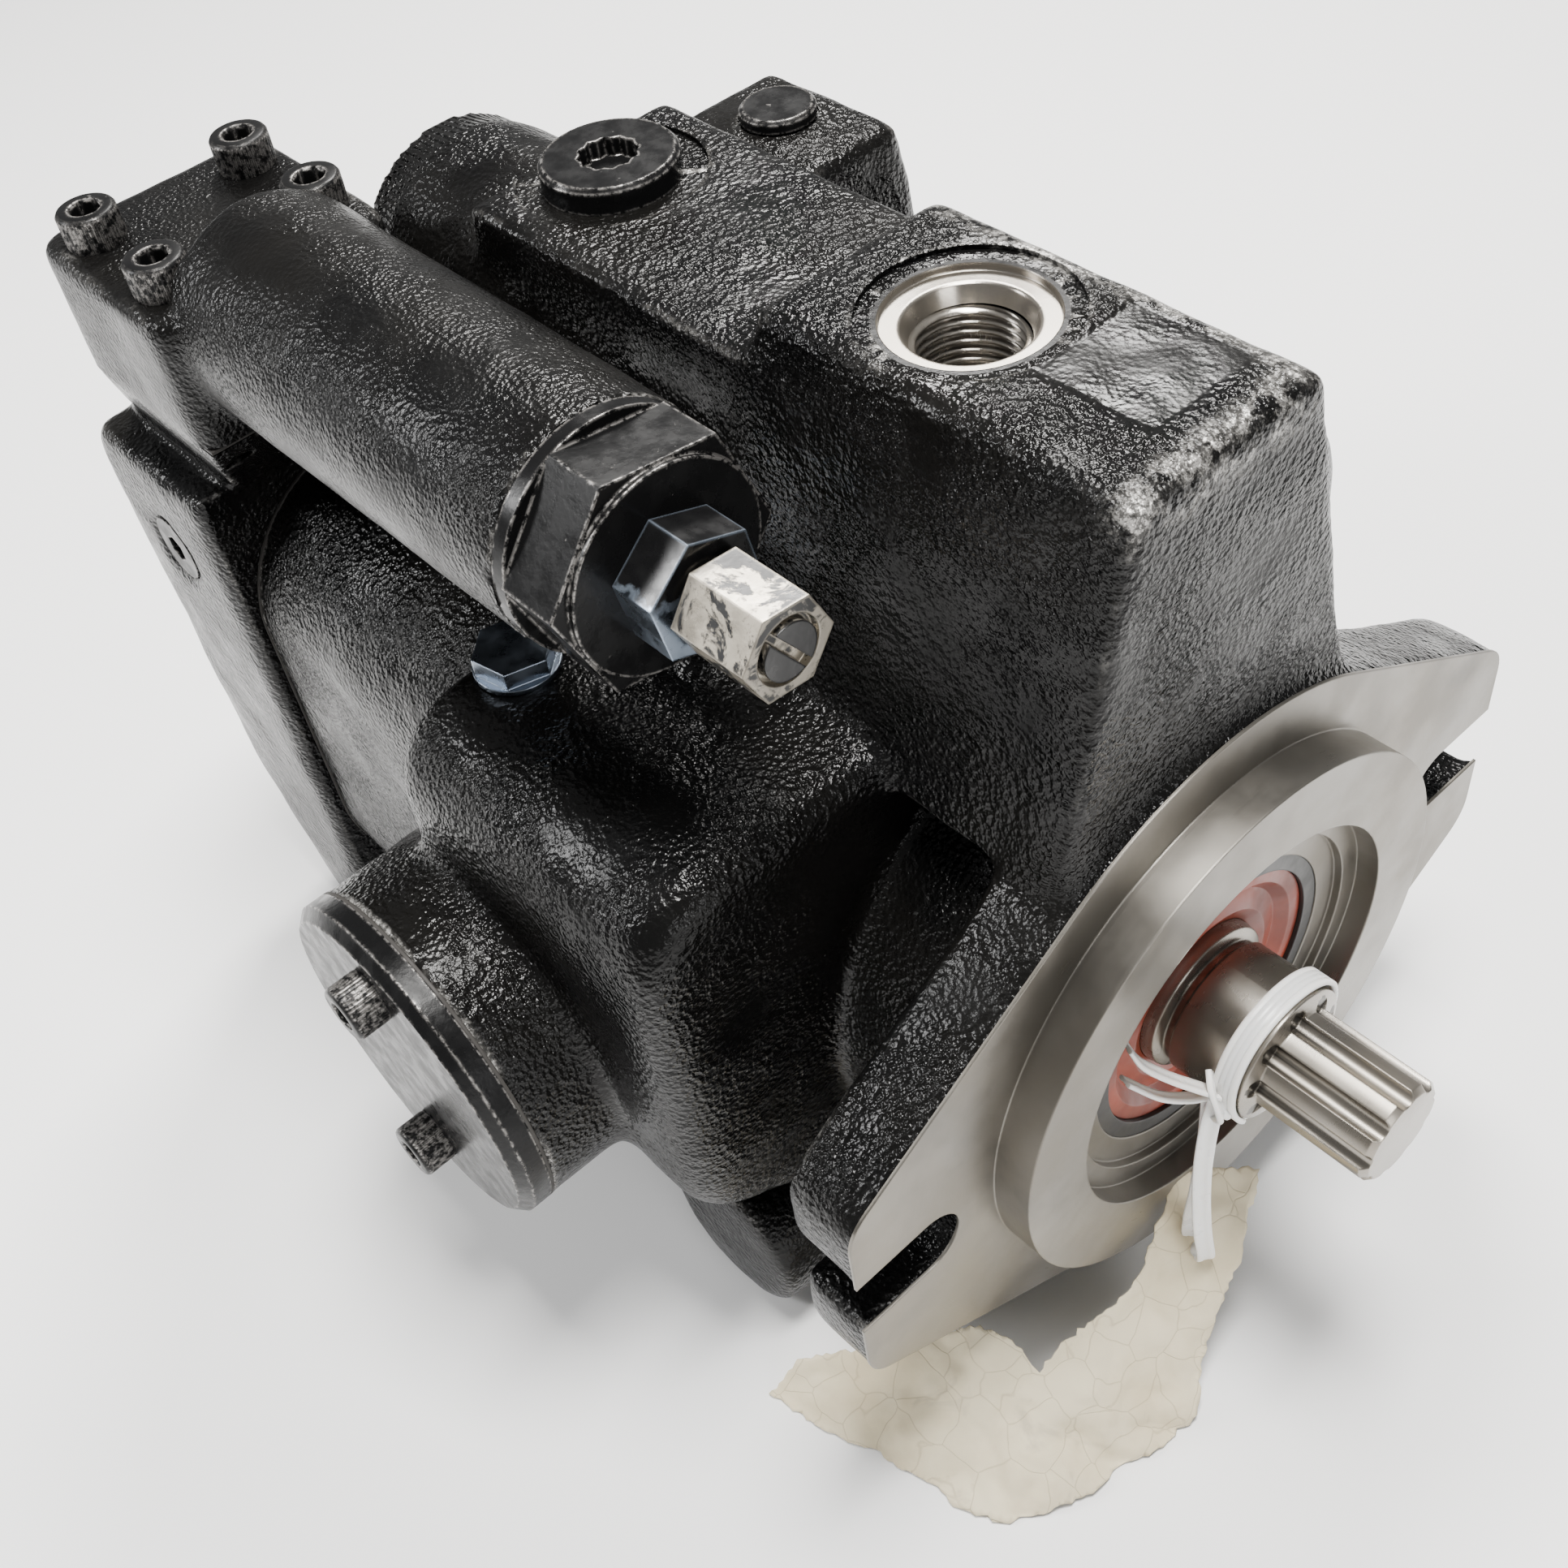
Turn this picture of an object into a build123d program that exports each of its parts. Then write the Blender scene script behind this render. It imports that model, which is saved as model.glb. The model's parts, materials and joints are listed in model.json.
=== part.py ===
"""Variable axial piston pump with a two-bolt pilot flange and a pressure compensator.

Origin: centre of the pilot on the mounting face. +X runs out along the drive shaft, +Z up.
"""
from build123d import *
import os
from math import cos, sin, radians

os.makedirs("parts", exist_ok=True)

# ---- driving dimensions, in millimetres -------------------------------------------------
PILOT_R = 41.275            # two-bolt A flange: 82.55 mm pilot
PILOT_HEIGHT = 6.0
FLANGE_THICK = 12.0
HUB_R = 49.5
EAR_Y, EAR_Z, EAR_R = 58.0, 14.0, 7.0
SLOT_Y, SLOT_R = 53.2, 5.55

BODY_FRONT, BODY_REAR = -30.0, -84.0
BODY_HALF_Y, BODY_TOP, BODY_BOTTOM = 67.0, 48.0, -50.0
SHOULDER_LOW = -22.0        # lower edge of the square shoulders
BARREL_CASE_HALF_Y, BARREL_CASE_HALF_Z = 57.0, 46.0
CASE_END = -141.5
REAR_FACE = -142.0          # front face of the rear port block
BASE_Z = -58.0              # surface that the pump stands on

BLOCK_TOP, BLOCK_FRONT, BLOCK_BACK = 93.0, -2.0, -59.0
SPINE_TOP, SPINE_BACK = 87.0, -115.0

PIVOT_X = -72.0             # swashplate trunnion axis
MAX_TILT = 17.0             # degrees at full stroke
BOSS_R, BOSS_END = 26.5, 79.2
COVER_THICK, GASKET = 4.5, 0.5
TRUNNION_R, BUSH_R = 7.95, 11.4

PISTONS = 9
PISTON_CIRCLE, PISTON_R, BALL_R = 22.0, 6.4, 4.1
BARREL_R, BARREL_FRONT, BARREL_BACK = 32.0, -88.0, -139.4
SHOE_FACE = PIVOT_X + 6.0   # running face of the swashplate
LEVER_Z = 58.0              # height of the control piston and bias spring axis

COMP_Y, COMP_Z, COMP_R = -42.0, 80.0, 15.5
COMP_FRONT = -56.0
COMP_BLOCK_X, COMP_BLOCK_Y = (-160.0, -124.0), (-60.0, -23.5)
COMP_BASE, COMP_TOP = 66.0, 86.0
COMP_SCREWS = [(x, y) for x in (-151.5, -132.5) for y in (-53.7, -29.6)]
COVER_SCREW_Z = 17.5

PORT_X, PLUG_X = -39.0, -105.0
TAG_THICK = 0.5
TAG_HANGING = [
    (15.3, -56.6, -57.4), (23.7, -30.8, -57.4), (12.6, -1.0, -35.0), (8.2, -9.0, -32.0),
    (8.8, -20.9, -37.6), (7.2, -38.0, -42.0), (7.4, -41.4, -43.4),
]
TAG_LYING = [
    (-24.0, -68.5, -57.3), (15.6, -57.2, -57.4), (7.6, -41.4, -43.4), (1.7, -40.6, -41.8),
    (-3.3, -42.3, -41.9), (-23.1, -62.2, -53.0),
]
CLEARANCE = 0.05


# ---- shared shapes ----------------------------------------------------------------------
def disc_x(radius, x_from, x_to, y=0.0, z=0.0, mode=Mode.ADD):
    """Round bar or bore along X."""
    with BuildSketch(Plane.YZ.offset(x_from)) as section:
        with Locations((y, z)):
            Circle(radius)
    extrude(section.sketch, amount=x_to - x_from, mode=mode)


def tube_x(outer, inner, x_from, x_to, y=0.0, z=0.0):
    """Ring along X."""
    with BuildSketch(Plane.YZ.offset(x_from)) as section:
        with Locations((y, z)):
            Circle(outer)
            Circle(inner, mode=Mode.SUBTRACT)
    extrude(section.sketch, amount=x_to - x_from)


def disc_on(plane, radius, amount, mode=Mode.ADD):
    """Round bar or bore that starts on a plane and runs along its normal."""
    with BuildSketch(plane) as section:
        Circle(radius)
    extrude(section.sketch, amount=amount, mode=mode)


def hex_on(plane, across_flats, amount, turn=0.0, mode=Mode.ADD):
    """Hexagonal bar or socket that starts on a plane."""
    with BuildSketch(plane) as section:
        RegularPolygon(across_flats / 2, 6, major_radius=False, rotation=turn)
    extrude(section.sketch, amount=amount, mode=mode)


def block(x_range, y_range, z_range, mode=Mode.ADD):
    """Rectangular block between limits."""
    centre = [(a + b) / 2 for a, b in (x_range, y_range, z_range)]
    size = [abs(b - a) for a, b in (x_range, y_range, z_range)]
    with Locations(tuple(centre)):
        Box(*size, mode=mode)


def taper_z(low, low_z, high, high_z):
    """Block that tapers between two rectangles, each given as (x0, x1, y0, y1)."""
    sections = []
    for (x0, x1, y0, y1), z in ((low, low_z), (high, high_z)):
        with BuildSketch(Plane.XY.offset(z)) as section:
            with Locations(((x0 + x1) / 2, (y0 + y1) / 2)):
                Rectangle(x1 - x0, y1 - y0)
        sections.append(section.sketch)
    loft(sections)


def facing(axis, point):
    """Plane through a point, facing along one signed row axis such as "-Y"."""
    sign = 1.0 if axis[0] == "+" else -1.0
    normal = {"X": (sign, 0, 0), "Y": (0, sign, 0), "Z": (0, 0, sign)}[axis[1]]
    return Plane(origin=point, z_dir=normal)


def cap_screw(seat, radius, length):
    """Socket-head cap screw: head above its seat plane, stem below it."""
    disc_on(seat, 1.7 * radius, 2 * radius)
    disc_on(seat, radius, -length)
    hex_on(seat.offset(2 * radius), 1.6 * radius, -1.1 * radius, mode=Mode.SUBTRACT)


def coil_x(name, x_from, x_to, radius, wire, turns, y=0.0, z=0.0):
    """Helical compression spring along X."""
    length = x_to - x_from
    with BuildPart() as spring:
        with BuildLine() as coil:
            Helix(length / turns, length, radius, center=(x_from, y, z), direction=(1, 0, 0))
        with BuildSketch(Plane(origin=coil.line @ 0, z_dir=coil.line % 0)):
            Circle(wire)
        sweep(is_frenet=True)
    write(spring, name)


def write(piece, name):
    """Label a finished piece and write its file."""
    piece.part.label = name
    export_step(piece.part, f"parts/{name}.step")


def polar(radius, index, count, turn=0.0):
    """Point of an evenly spaced circle in the YZ plane."""
    angle = radians(360.0 * index / count + turn)
    return radius * cos(angle), radius * sin(angle)


# ---- housing ----------------------------------------------------------------------------
with BuildPart() as housing:
    # swashplate section: square shoulders above, round below, outer edges rounded as cast
    with BuildSketch(Plane.YZ.offset(BODY_REAR)):
        with Locations((0, (BODY_TOP + SHOULDER_LOW) / 2)):
            RectangleRounded(2 * BODY_HALF_Y, BODY_TOP - SHOULDER_LOW, 14)
        with Locations((0, -2)):
            Circle(-2 - BODY_BOTTOM)
        make_hull()
    extrude(amount=BODY_FRONT - BODY_REAR)
    fillet(housing.faces().sort_by(Axis.X)[-1].edges(), 5)
    fillet(housing.faces().sort_by(Axis.X)[0].edges(), 4)
    # section around the cylinder block
    with BuildSketch(Plane.YZ.offset(CASE_END)):
        RectangleRounded(2 * BARREL_CASE_HALF_Y, 2 * BARREL_CASE_HALF_Z, 25)
    extrude(amount=BODY_REAR + 6 - CASE_END)
    # neck and two-bolt flange
    disc_x(40, BODY_FRONT - 4, -FLANGE_THICK + 1)
    with BuildSketch(Plane.YZ.offset(-FLANGE_THICK)):
        Circle(HUB_R)
        with Locations(*[(sy * EAR_Y, sz * EAR_Z) for sy in (-1, 1) for sz in (-1, 1)]):
            Circle(EAR_R)
        make_hull()
    extrude(amount=FLANGE_THICK)
    disc_x(PILOT_R, -1, PILOT_HEIGHT)
    # top block over the bias spring, spine over the control piston
    taper_z((BLOCK_BACK - 3, BLOCK_FRONT, -27, 27), 42, (BLOCK_BACK, BLOCK_FRONT, -15, 15), BLOCK_TOP)
    taper_z((SPINE_BACK - 5, BLOCK_BACK + 2, -38, 38), 42, (SPINE_BACK, BLOCK_BACK + 2, -18, 18), 75)
    block((SPINE_BACK, BLOCK_BACK + 1), (-17.5, 17.5), (70, SPINE_TOP))
    # hump behind the spine, with its turned rear end
    disc_x(18, CASE_END + 5, SPINE_BACK + 6, -4, 67)
    disc_x(17.3, CASE_END, CASE_END + 6, -4, 67)
    block((CASE_END, SPINE_BACK + 6), (-21.5, 13.5), (38, 67))
    # trunnion bosses, front foot and the far valve pad
    for side in ("-Y", "+Y"):
        sign = -1 if side == "-Y" else 1
        disc_on(facing(side, (PIVOT_X, sign * 60, 0)), BOSS_R, BOSS_END - 60)
    disc_on(facing("-Y", (-42, 58, -44)), 14, 116)
    taper_z((-124, -90, 14, 46), 38, (-120, -92, 17, 41), 80)
    disc_on(facing("+Z", (-107, 31, 78)), 7.5, 2.8)
    # cavity for the swashplate, barrel bore, lever chamber
    disc_x(41, -80, -36, mode=Mode.SUBTRACT)
    block((-84.3, -36), (-53, 53), (-18, 18), mode=Mode.SUBTRACT)
    disc_x(38, CASE_END, -80, mode=Mode.SUBTRACT)
    block((-84, -50), (-10, 10), (36, 70), mode=Mode.SUBTRACT)
    disc_x(10, -60, -14, 0, LEVER_Z, mode=Mode.SUBTRACT)
    disc_x(9 + CLEARANCE, -118, -80, 0, LEVER_Z, mode=Mode.SUBTRACT)
    # seal recess, bearing bore and shaft opening
    disc_x(30.4, 2.5, PILOT_HEIGHT, mode=Mode.SUBTRACT)
    disc_x(27.0, 1.2, 2.6, mode=Mode.SUBTRACT)
    disc_x(23.0, -9, 1.3, mode=Mode.SUBTRACT)
    disc_x(16.0, -13, -8, mode=Mode.SUBTRACT)
    disc_x(21.0, -37, -12, mode=Mode.SUBTRACT)
    # trunnion bores and cover screw holes
    for side in ("-Y", "+Y"):
        sign = -1 if side == "-Y" else 1
        disc_on(facing(side, (PIVOT_X, sign * 50, 0)), BUSH_R, BOSS_END - 50, Mode.SUBTRACT)
        for z in (-COVER_SCREW_Z, COVER_SCREW_Z):
            seat = facing(side, (PIVOT_X, sign * BOSS_END, z))
            disc_on(seat, 2.5, -13, Mode.SUBTRACT)
    # open-ended bolt slots
    with BuildSketch(Plane.YZ.offset(-FLANGE_THICK - 1)) as slots:
        for sign in (-1, 1):
            with Locations((sign * SLOT_Y, 0)):
                Circle(SLOT_R)
            with Locations((sign * (SLOT_Y + 8), 0)):
                Rectangle(16, 2 * SLOT_R)
    extrude(amount=FLANGE_THICK + 2, mode=Mode.SUBTRACT)
    # drain port: wide spot face, narrow seat, chamfered thread bore, drill to the case
    disc_on(facing("-Z", (PORT_X, 0, BLOCK_TOP)), 13.1, 0.8, Mode.SUBTRACT)
    disc_on(facing("-Z", (PORT_X, 0, BLOCK_TOP)), 10.4, 1.8, Mode.SUBTRACT)
    with BuildSketch(Plane.XZ) as drain_profile:
        with BuildLine():
            Polyline((PORT_X, BLOCK_TOP - 1.8), (PORT_X + 8.0, BLOCK_TOP - 1.8),
                     (PORT_X + 6.45, BLOCK_TOP - 4.2), (PORT_X + 6.45, BLOCK_TOP - 17),
                     (PORT_X + 4, BLOCK_TOP - 19.5), (PORT_X + 4, LEVER_Z + 5),
                     (PORT_X, LEVER_Z + 5), close=True)
        make_face()
    revolve(axis=Axis((PORT_X, 0, 0), (0, 0, 1)), mode=Mode.SUBTRACT)
    # plug seat over the control piston
    disc_on(facing("-Z", (PLUG_X, 0, SPINE_TOP)), 13.0, 0.8, Mode.SUBTRACT)
    disc_on(facing("-Z", (PLUG_X, 0, SPINE_TOP)), 6.5, 12, Mode.SUBTRACT)
    disc_on(facing("-Z", (PLUG_X, 0, SPINE_TOP)), 2.5, SPINE_TOP - LEVER_Z, Mode.SUBTRACT)
    # gauge plug, pad plug and rear block screw holes
    disc_on(facing("-Z", (-77.5, -47, BODY_TOP)), 3.95, 6.5, Mode.SUBTRACT)
    disc_on(facing("-Z", (-107, 31, 80.8)), 3, 10, Mode.SUBTRACT)
    for y, z in [(sy * 45, sz * 34) for sy in (-1, 1) for sz in (-1, 1)]:
        disc_x(4.2, CASE_END, CASE_END + 18, y, z, mode=Mode.SUBTRACT)
write(housing, "housing")

# ---- rear port block --------------------------------------------------------------------
with BuildPart() as rear_port_block:
    with BuildSketch(Plane.XZ.offset(-60)):
        with BuildLine():
            Polyline((REAR_FACE, BASE_Z), (-156, BASE_Z), (-172.5, -29), (-177, 44),
                     (-174, 48), (REAR_FACE, 48), close=True)
        make_face()
    extrude(amount=120)
    fillet(rear_port_block.faces().sort_by(Axis.Y)[0].edges(), 2.5)
    fillet(rear_port_block.faces().sort_by(Axis.Y)[-1].edges(), 2.5)
    # pedestal that carries the compensator
    taper_z((-174.5, REAR_FACE, -52.5, -25), 47,
            (COMP_BLOCK_X[0] + 0.5, COMP_BLOCK_X[1] - 0.5, COMP_BLOCK_Y[0] + 0.5, COMP_BLOCK_Y[1] - 0.5),
            COMP_BASE - GASKET)
    # rear bearing bore, kidney passages and the two side-by-side rear ports
    disc_x(12, -155, REAR_FACE, mode=Mode.SUBTRACT)
    for centre in (0, 180):
        with BuildSketch(Plane.YZ.offset(REAR_FACE)) as kidney:
            SlotArc(CenterArc((0, 0), PISTON_CIRCLE, centre - 50, 100), 7)
        extrude(kidney.sketch, amount=-12, mode=Mode.SUBTRACT)
    for y, bore, spot in ((27, 15.6, 22.5), (-27, 12.4, 18.5)):
        disc_x(spot, -180, -172, y, 4, mode=Mode.SUBTRACT)
        disc_x(bore, -172, -157, y, 4, mode=Mode.SUBTRACT)
        disc_x(8, -158, -152, y * 0.85, 0, mode=Mode.SUBTRACT)
    for y, z in [(sy * 45, sz * 34) for sy in (-1, 1) for sz in (-1, 1)]:
        disc_x(5.2, -180, REAR_FACE, y, z, mode=Mode.SUBTRACT)
        disc_x(8.5, -180, -162, y, z, mode=Mode.SUBTRACT)
    for x, y in COMP_SCREWS:
        disc_on(facing("-Z", (x, y, COMP_BASE)), 2.5, 8, Mode.SUBTRACT)
    disc_on(facing("+Y", (-160, -60, 30)), 4, 5.5, Mode.SUBTRACT)
    disc_on(facing("+Y", (-160, -60, 30)), 5.6, 2, Mode.SUBTRACT)
write(rear_port_block, "rear_port_block")

with BuildPart() as rear_block_gasket:
    with BuildSketch(Plane.YZ.offset(REAR_FACE)):
        RectangleRounded(2 * BARREL_CASE_HALF_Y, 2 * BARREL_CASE_HALF_Z, 25)
        Circle(38, mode=Mode.SUBTRACT)
        with Locations(*[(sy * 45, sz * 34) for sy in (-1, 1) for sz in (-1, 1)]):
            Circle(5.2, mode=Mode.SUBTRACT)
    extrude(amount=GASKET)
write(rear_block_gasket, "rear_block_gasket")

with BuildPart() as rear_block_screws:
    for y, z in [(sy * 45, sz * 34) for sy in (-1, 1) for sz in (-1, 1)]:
        cap_screw(facing("-X", (-162, y, z)), 4.15, 34)
write(rear_block_screws, "rear_block_screws")

with BuildPart() as side_plug:
    seat = facing("-Y", (-160, -58, 30))
    disc_on(seat, 5.5, 1.6)
    disc_on(seat, 3.9, -3.2)
    hex_on(seat.offset(1.6), 4, -1.2, mode=Mode.SUBTRACT)
write(side_plug, "side_plug")

# ---- trunnion covers --------------------------------------------------------------------
for side, word in (("-Y", "near"), ("+Y", "far")):
    sign = -1 if side == "-Y" else 1
    boss_face = facing(side, (PIVOT_X, sign * BOSS_END, 0))
    with BuildPart() as cover_gasket:
        disc_on(boss_face, BOSS_R, GASKET)
        disc_on(boss_face, BUSH_R, GASKET, Mode.SUBTRACT)
        for z in (-COVER_SCREW_Z, COVER_SCREW_Z):
            disc_on(facing(side, (PIVOT_X, sign * BOSS_END, z)), 2.8, GASKET, Mode.SUBTRACT)
    write(cover_gasket, f"trunnion_gasket_{word}")
    with BuildPart() as cover:
        disc_on(boss_face.offset(GASKET), BOSS_R, COVER_THICK)
        chamfer(cover.faces().sort_by(Axis.Y)[0 if sign < 0 else -1].edges(), 1.6)
        disc_on(boss_face.offset(GASKET), BUSH_R - 0.1, -4.5)
        for z in (-COVER_SCREW_Z, COVER_SCREW_Z):
            seat = facing(side, (PIVOT_X, sign * BOSS_END, z))
            disc_on(seat, 2.8, COVER_THICK + GASKET, Mode.SUBTRACT)
    write(cover, f"trunnion_cover_{word}")
    with BuildPart() as bush:
        disc_on(facing(side, (PIVOT_X, sign * 54, 0)), BUSH_R, 20)
        disc_on(facing(side, (PIVOT_X, sign * 54, 0)), TRUNNION_R + CLEARANCE, 20, Mode.SUBTRACT)
    write(bush, f"trunnion_bush_{word}")

with BuildPart() as trunnion_cover_screws:
    for side, sign in (("-Y", -1), ("+Y", 1)):
        for z in (-COVER_SCREW_Z, COVER_SCREW_Z):
            top = sign * (BOSS_END + GASKET + COVER_THICK)
            cap_screw(facing(side, (PIVOT_X, top, z)), 2.45, 16)
write(trunnion_cover_screws, "trunnion_cover_screws")

# ---- compensator ------------------------------------------------------------------------
with BuildPart() as compensator_body:
    block(COMP_BLOCK_X, COMP_BLOCK_Y, (COMP_BASE, COMP_TOP))
    fillet(compensator_body.edges().filter_by(Axis.Z), 4)
    fillet(compensator_body.faces().sort_by(Axis.Z)[-1].edges(), 1.5)
    disc_x(COMP_R, -127.6, COMP_FRONT, COMP_Y, COMP_Z)
    block((-139, COMP_BLOCK_X[1]), (-60, -23), (55, COMP_BASE), mode=Mode.SUBTRACT)
    disc_x(9.5, -121, COMP_FRONT, COMP_Y, COMP_Z, mode=Mode.SUBTRACT)
    disc_x(4 + CLEARANCE, -157, -120, COMP_Y, COMP_Z, mode=Mode.SUBTRACT)
    for x, y in COMP_SCREWS:
        disc_on(facing("-Z", (x, y, COMP_TOP)), 2.7, COMP_TOP - COMP_BASE, Mode.SUBTRACT)
write(compensator_body, "compensator_body")

with BuildPart() as compensator_gasket:
    block((COMP_BLOCK_X[0] + 1, COMP_BLOCK_X[1] - 1), (COMP_BLOCK_Y[0] + 1, COMP_BLOCK_Y[1] - 1),
          (COMP_BASE - GASKET, COMP_BASE))
    for x, y in COMP_SCREWS:
        disc_on(facing("-Z", (x, y, COMP_BASE)), 2.7, GASKET, Mode.SUBTRACT)
write(compensator_gasket, "compensator_gasket")

with BuildPart() as compensator_screws:
    for x, y in COMP_SCREWS:
        cap_screw(facing("+Z", (x, y, COMP_TOP)), 2.45, 27)
write(compensator_screws, "compensator_screws")

with BuildPart() as compensator_plug:
    front = facing("+X", (COMP_FRONT, COMP_Y, COMP_Z))
    disc_on(front, 15.2, 2.2)
    hex_on(front.offset(2.2), 27, 8.8, turn=22)
    with BuildSketch(front.offset(11)) as crown:
        Circle(13.2)
    extrude(crown.sketch, amount=0.8)
    disc_on(front, 9.4, -12)
    disc_on(front.offset(-12), 4.1, 24, Mode.SUBTRACT)
write(compensator_plug, "compensator_plug")

with BuildPart() as adjuster_lock_nut:
    nut_seat = facing("+X", (COMP_FRONT + 11.8, COMP_Y, COMP_Z))
    hex_on(nut_seat, 14, 6.5, turn=10)
    disc_on(nut_seat, 4.1, 6.5, Mode.SUBTRACT)
write(adjuster_lock_nut, "adjuster_lock_nut")

with BuildPart() as adjusting_screw:
    head = facing("+X", (COMP_FRONT + 19.5, COMP_Y, COMP_Z))
    disc_on(head, 4.0, -41)
    hex_on(head, 11, 11.5, turn=25)
    disc_on(head.offset(11.5), 4.3, -1.2, Mode.SUBTRACT)
    disc_on(head.offset(10.3), 3.6, 1.6)
    with BuildSketch(head.offset(11.9)):
        Rectangle(8, 1.1, rotation=35)
    extrude(amount=-1.6, mode=Mode.SUBTRACT)
write(adjusting_screw, "adjusting_screw")

with BuildPart() as spring_seat:
    disc_x(9.3, -80.4, -77.7, COMP_Y, COMP_Z)
    disc_x(5.2, -88, -80.4, COMP_Y, COMP_Z)
write(spring_seat, "compensator_spring_seat")

coil_x("compensator_spring", -114.9, -81.7, 7.4, 1.2, 6, COMP_Y, COMP_Z)

with BuildPart() as compensator_spool:
    disc_x(4, -153, -119, COMP_Y, COMP_Z)
    for x in (-147, -136):
        with BuildSketch(Plane.YZ.offset(x)) as groove:
            with Locations((COMP_Y, COMP_Z)):
                Circle(4)
                Circle(2.6, mode=Mode.SUBTRACT)
        extrude(groove.sketch, amount=4, mode=Mode.SUBTRACT)
    disc_x(8.9, -119, -116.2, COMP_Y, COMP_Z)
    disc_x(5.2, -116.2, -110, COMP_Y, COMP_Z)
write(compensator_spool, "compensator_spool")

# ---- plugs on the casing ----------------------------------------------------------------
with BuildPart() as top_plug:
    seat = facing("+Z", (PLUG_X, 0, SPINE_TOP - 0.8))
    disc_on(seat, 9.6, 3.6)
    chamfer(top_plug.faces().sort_by(Axis.Z)[-1].edges(), 0.6)
    disc_on(seat, 6.3, -10)
    with BuildSketch(seat.offset(3.6)):
        RegularPolygon(4.3, 6)
        RegularPolygon(4.3, 6, rotation=30)
    extrude(amount=-2.6, mode=Mode.SUBTRACT)
write(top_plug, "top_plug")

with BuildPart() as gauge_plug:
    seat = facing("+Z", (-77.5, -47, BODY_TOP))
    disc_on(seat, 6.0, 0.8)
    hex_on(seat.offset(0.8), 10, 2.6, turn=12)
    disc_on(seat, 3.9, -6)
write(gauge_plug, "gauge_plug")

with BuildPart() as pad_plug:
    seat = facing("+Z", (-107, 31, 80.8))
    disc_on(seat, 5.6, 1.8)
    chamfer(pad_plug.faces().sort_by(Axis.Z)[-1].edges(), 0.5)
    disc_on(seat, 2.9, -8)
write(pad_plug, "pad_plug")

# ---- shaft, seal and bearings -----------------------------------------------------------
SHAFT_PROFILE = [
    (-154, 9.93), (-154, 0), (31.75, 0), (31.75, 6.9), (30.9, 7.7), (15.0, 7.7), (14.2, 10.2),
    (2.6, 10.2), (2.2, 9.6), (1.2, 9.6), (0.6, 11.2), (-0.6, 11.4), (-11.5, 11.4), (-11.5, 10.0),
    (-28.0, 10.0), (-28.0, 13.0), (-31.0, 13.0), (-31.0, 9.0), (-141.0, 9.0), (-141.0, 9.93),
]
with BuildPart() as drive_shaft:
    with BuildSketch(Plane.XZ):
        with BuildLine():
            Polyline(*SHAFT_PROFILE, close=True)
        make_face()
    revolve(axis=Axis.X)
    # nine-tooth involute-like spline
    with BuildSketch(Plane.YZ.offset(32)) as gaps:
        for index in range(9):
            with Locations(polar(8.05, index, 9, 10)):
                Circle(1.55)
    extrude(gaps.sketch, amount=-17.5, mode=Mode.SUBTRACT)
write(drive_shaft, "drive_shaft")

with BuildPart() as shaft_seal_case:
    tube_x(23.0, 20.5, -8.6, 1.0)
    tube_x(20.6, 14.0, -8.6, -7.8)
write(shaft_seal_case, "shaft_seal_case")

with BuildPart() as shaft_seal_lip:
    with BuildSketch(Plane.XZ):
        with BuildLine():
            Polyline((-7.7, 20.4), (0.3, 20.4), (0.3, 18.2), (-1.2, 16.5), (-0.4, 13.6), (-1.4, 11.45),
                     (-3.4, 11.45), (-4.2, 13.4), (-7.7, 14.6), close=True)
        make_face()
    revolve(axis=Axis.X)
write(shaft_seal_lip, "shaft_seal_lip")

BALL_CIRCLE, BEARING_BALL_R, BEARING_X, BALLS = 15.5, 3.0, -20.0, 10
for name, outer, inner in (("front_bearing_inner_race", 14.0, 10.0), ("front_bearing_outer_race", 21.0, 17.0)):
    with BuildPart() as race:
        tube_x(outer, inner, -27.9, -12.1)
        with Locations(Location((BEARING_X, 0, 0), (0, 90, 0))):
            Torus(BALL_CIRCLE, BEARING_BALL_R + 0.15, mode=Mode.SUBTRACT)
    write(race, name)

with BuildPart() as front_bearing_cage:
    tube_x(16.3, 14.7, -24.5, -15.5)
    for index in range(BALLS):
        y, z = polar(BALL_CIRCLE, index, BALLS)
        with Locations((BEARING_X, y, z)):
            Sphere(BEARING_BALL_R + 0.15, mode=Mode.SUBTRACT)
write(front_bearing_cage, "front_bearing_cage")

with BuildPart() as front_bearing_balls:
    for index in range(BALLS):
        y, z = polar(BALL_CIRCLE, index, BALLS)
        with Locations((BEARING_X, y, z)):
            Sphere(BEARING_BALL_R)
write(front_bearing_balls, "front_bearing_balls")

with BuildPart() as rear_bearing_bush:
    tube_x(12.0, 9.98, -154.5, -142.6)
write(rear_bearing_bush, "rear_bearing_bush")

# ---- rotating group ---------------------------------------------------------------------
with BuildPart() as cylinder_block:
    tube_x(BARREL_R, 9.05, BARREL_BACK, BARREL_FRONT)
    disc_x(14.2, -124, BARREL_FRONT, mode=Mode.SUBTRACT)
    for index in range(PISTONS):
        y, z = polar(PISTON_CIRCLE, index, PISTONS, 90)
        disc_x(PISTON_R + CLEARANCE, -131, BARREL_FRONT, y, z, mode=Mode.SUBTRACT)
        disc_x(3.4, BARREL_BACK, -130, y, z, mode=Mode.SUBTRACT)
write(cylinder_block, "cylinder_block")

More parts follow.
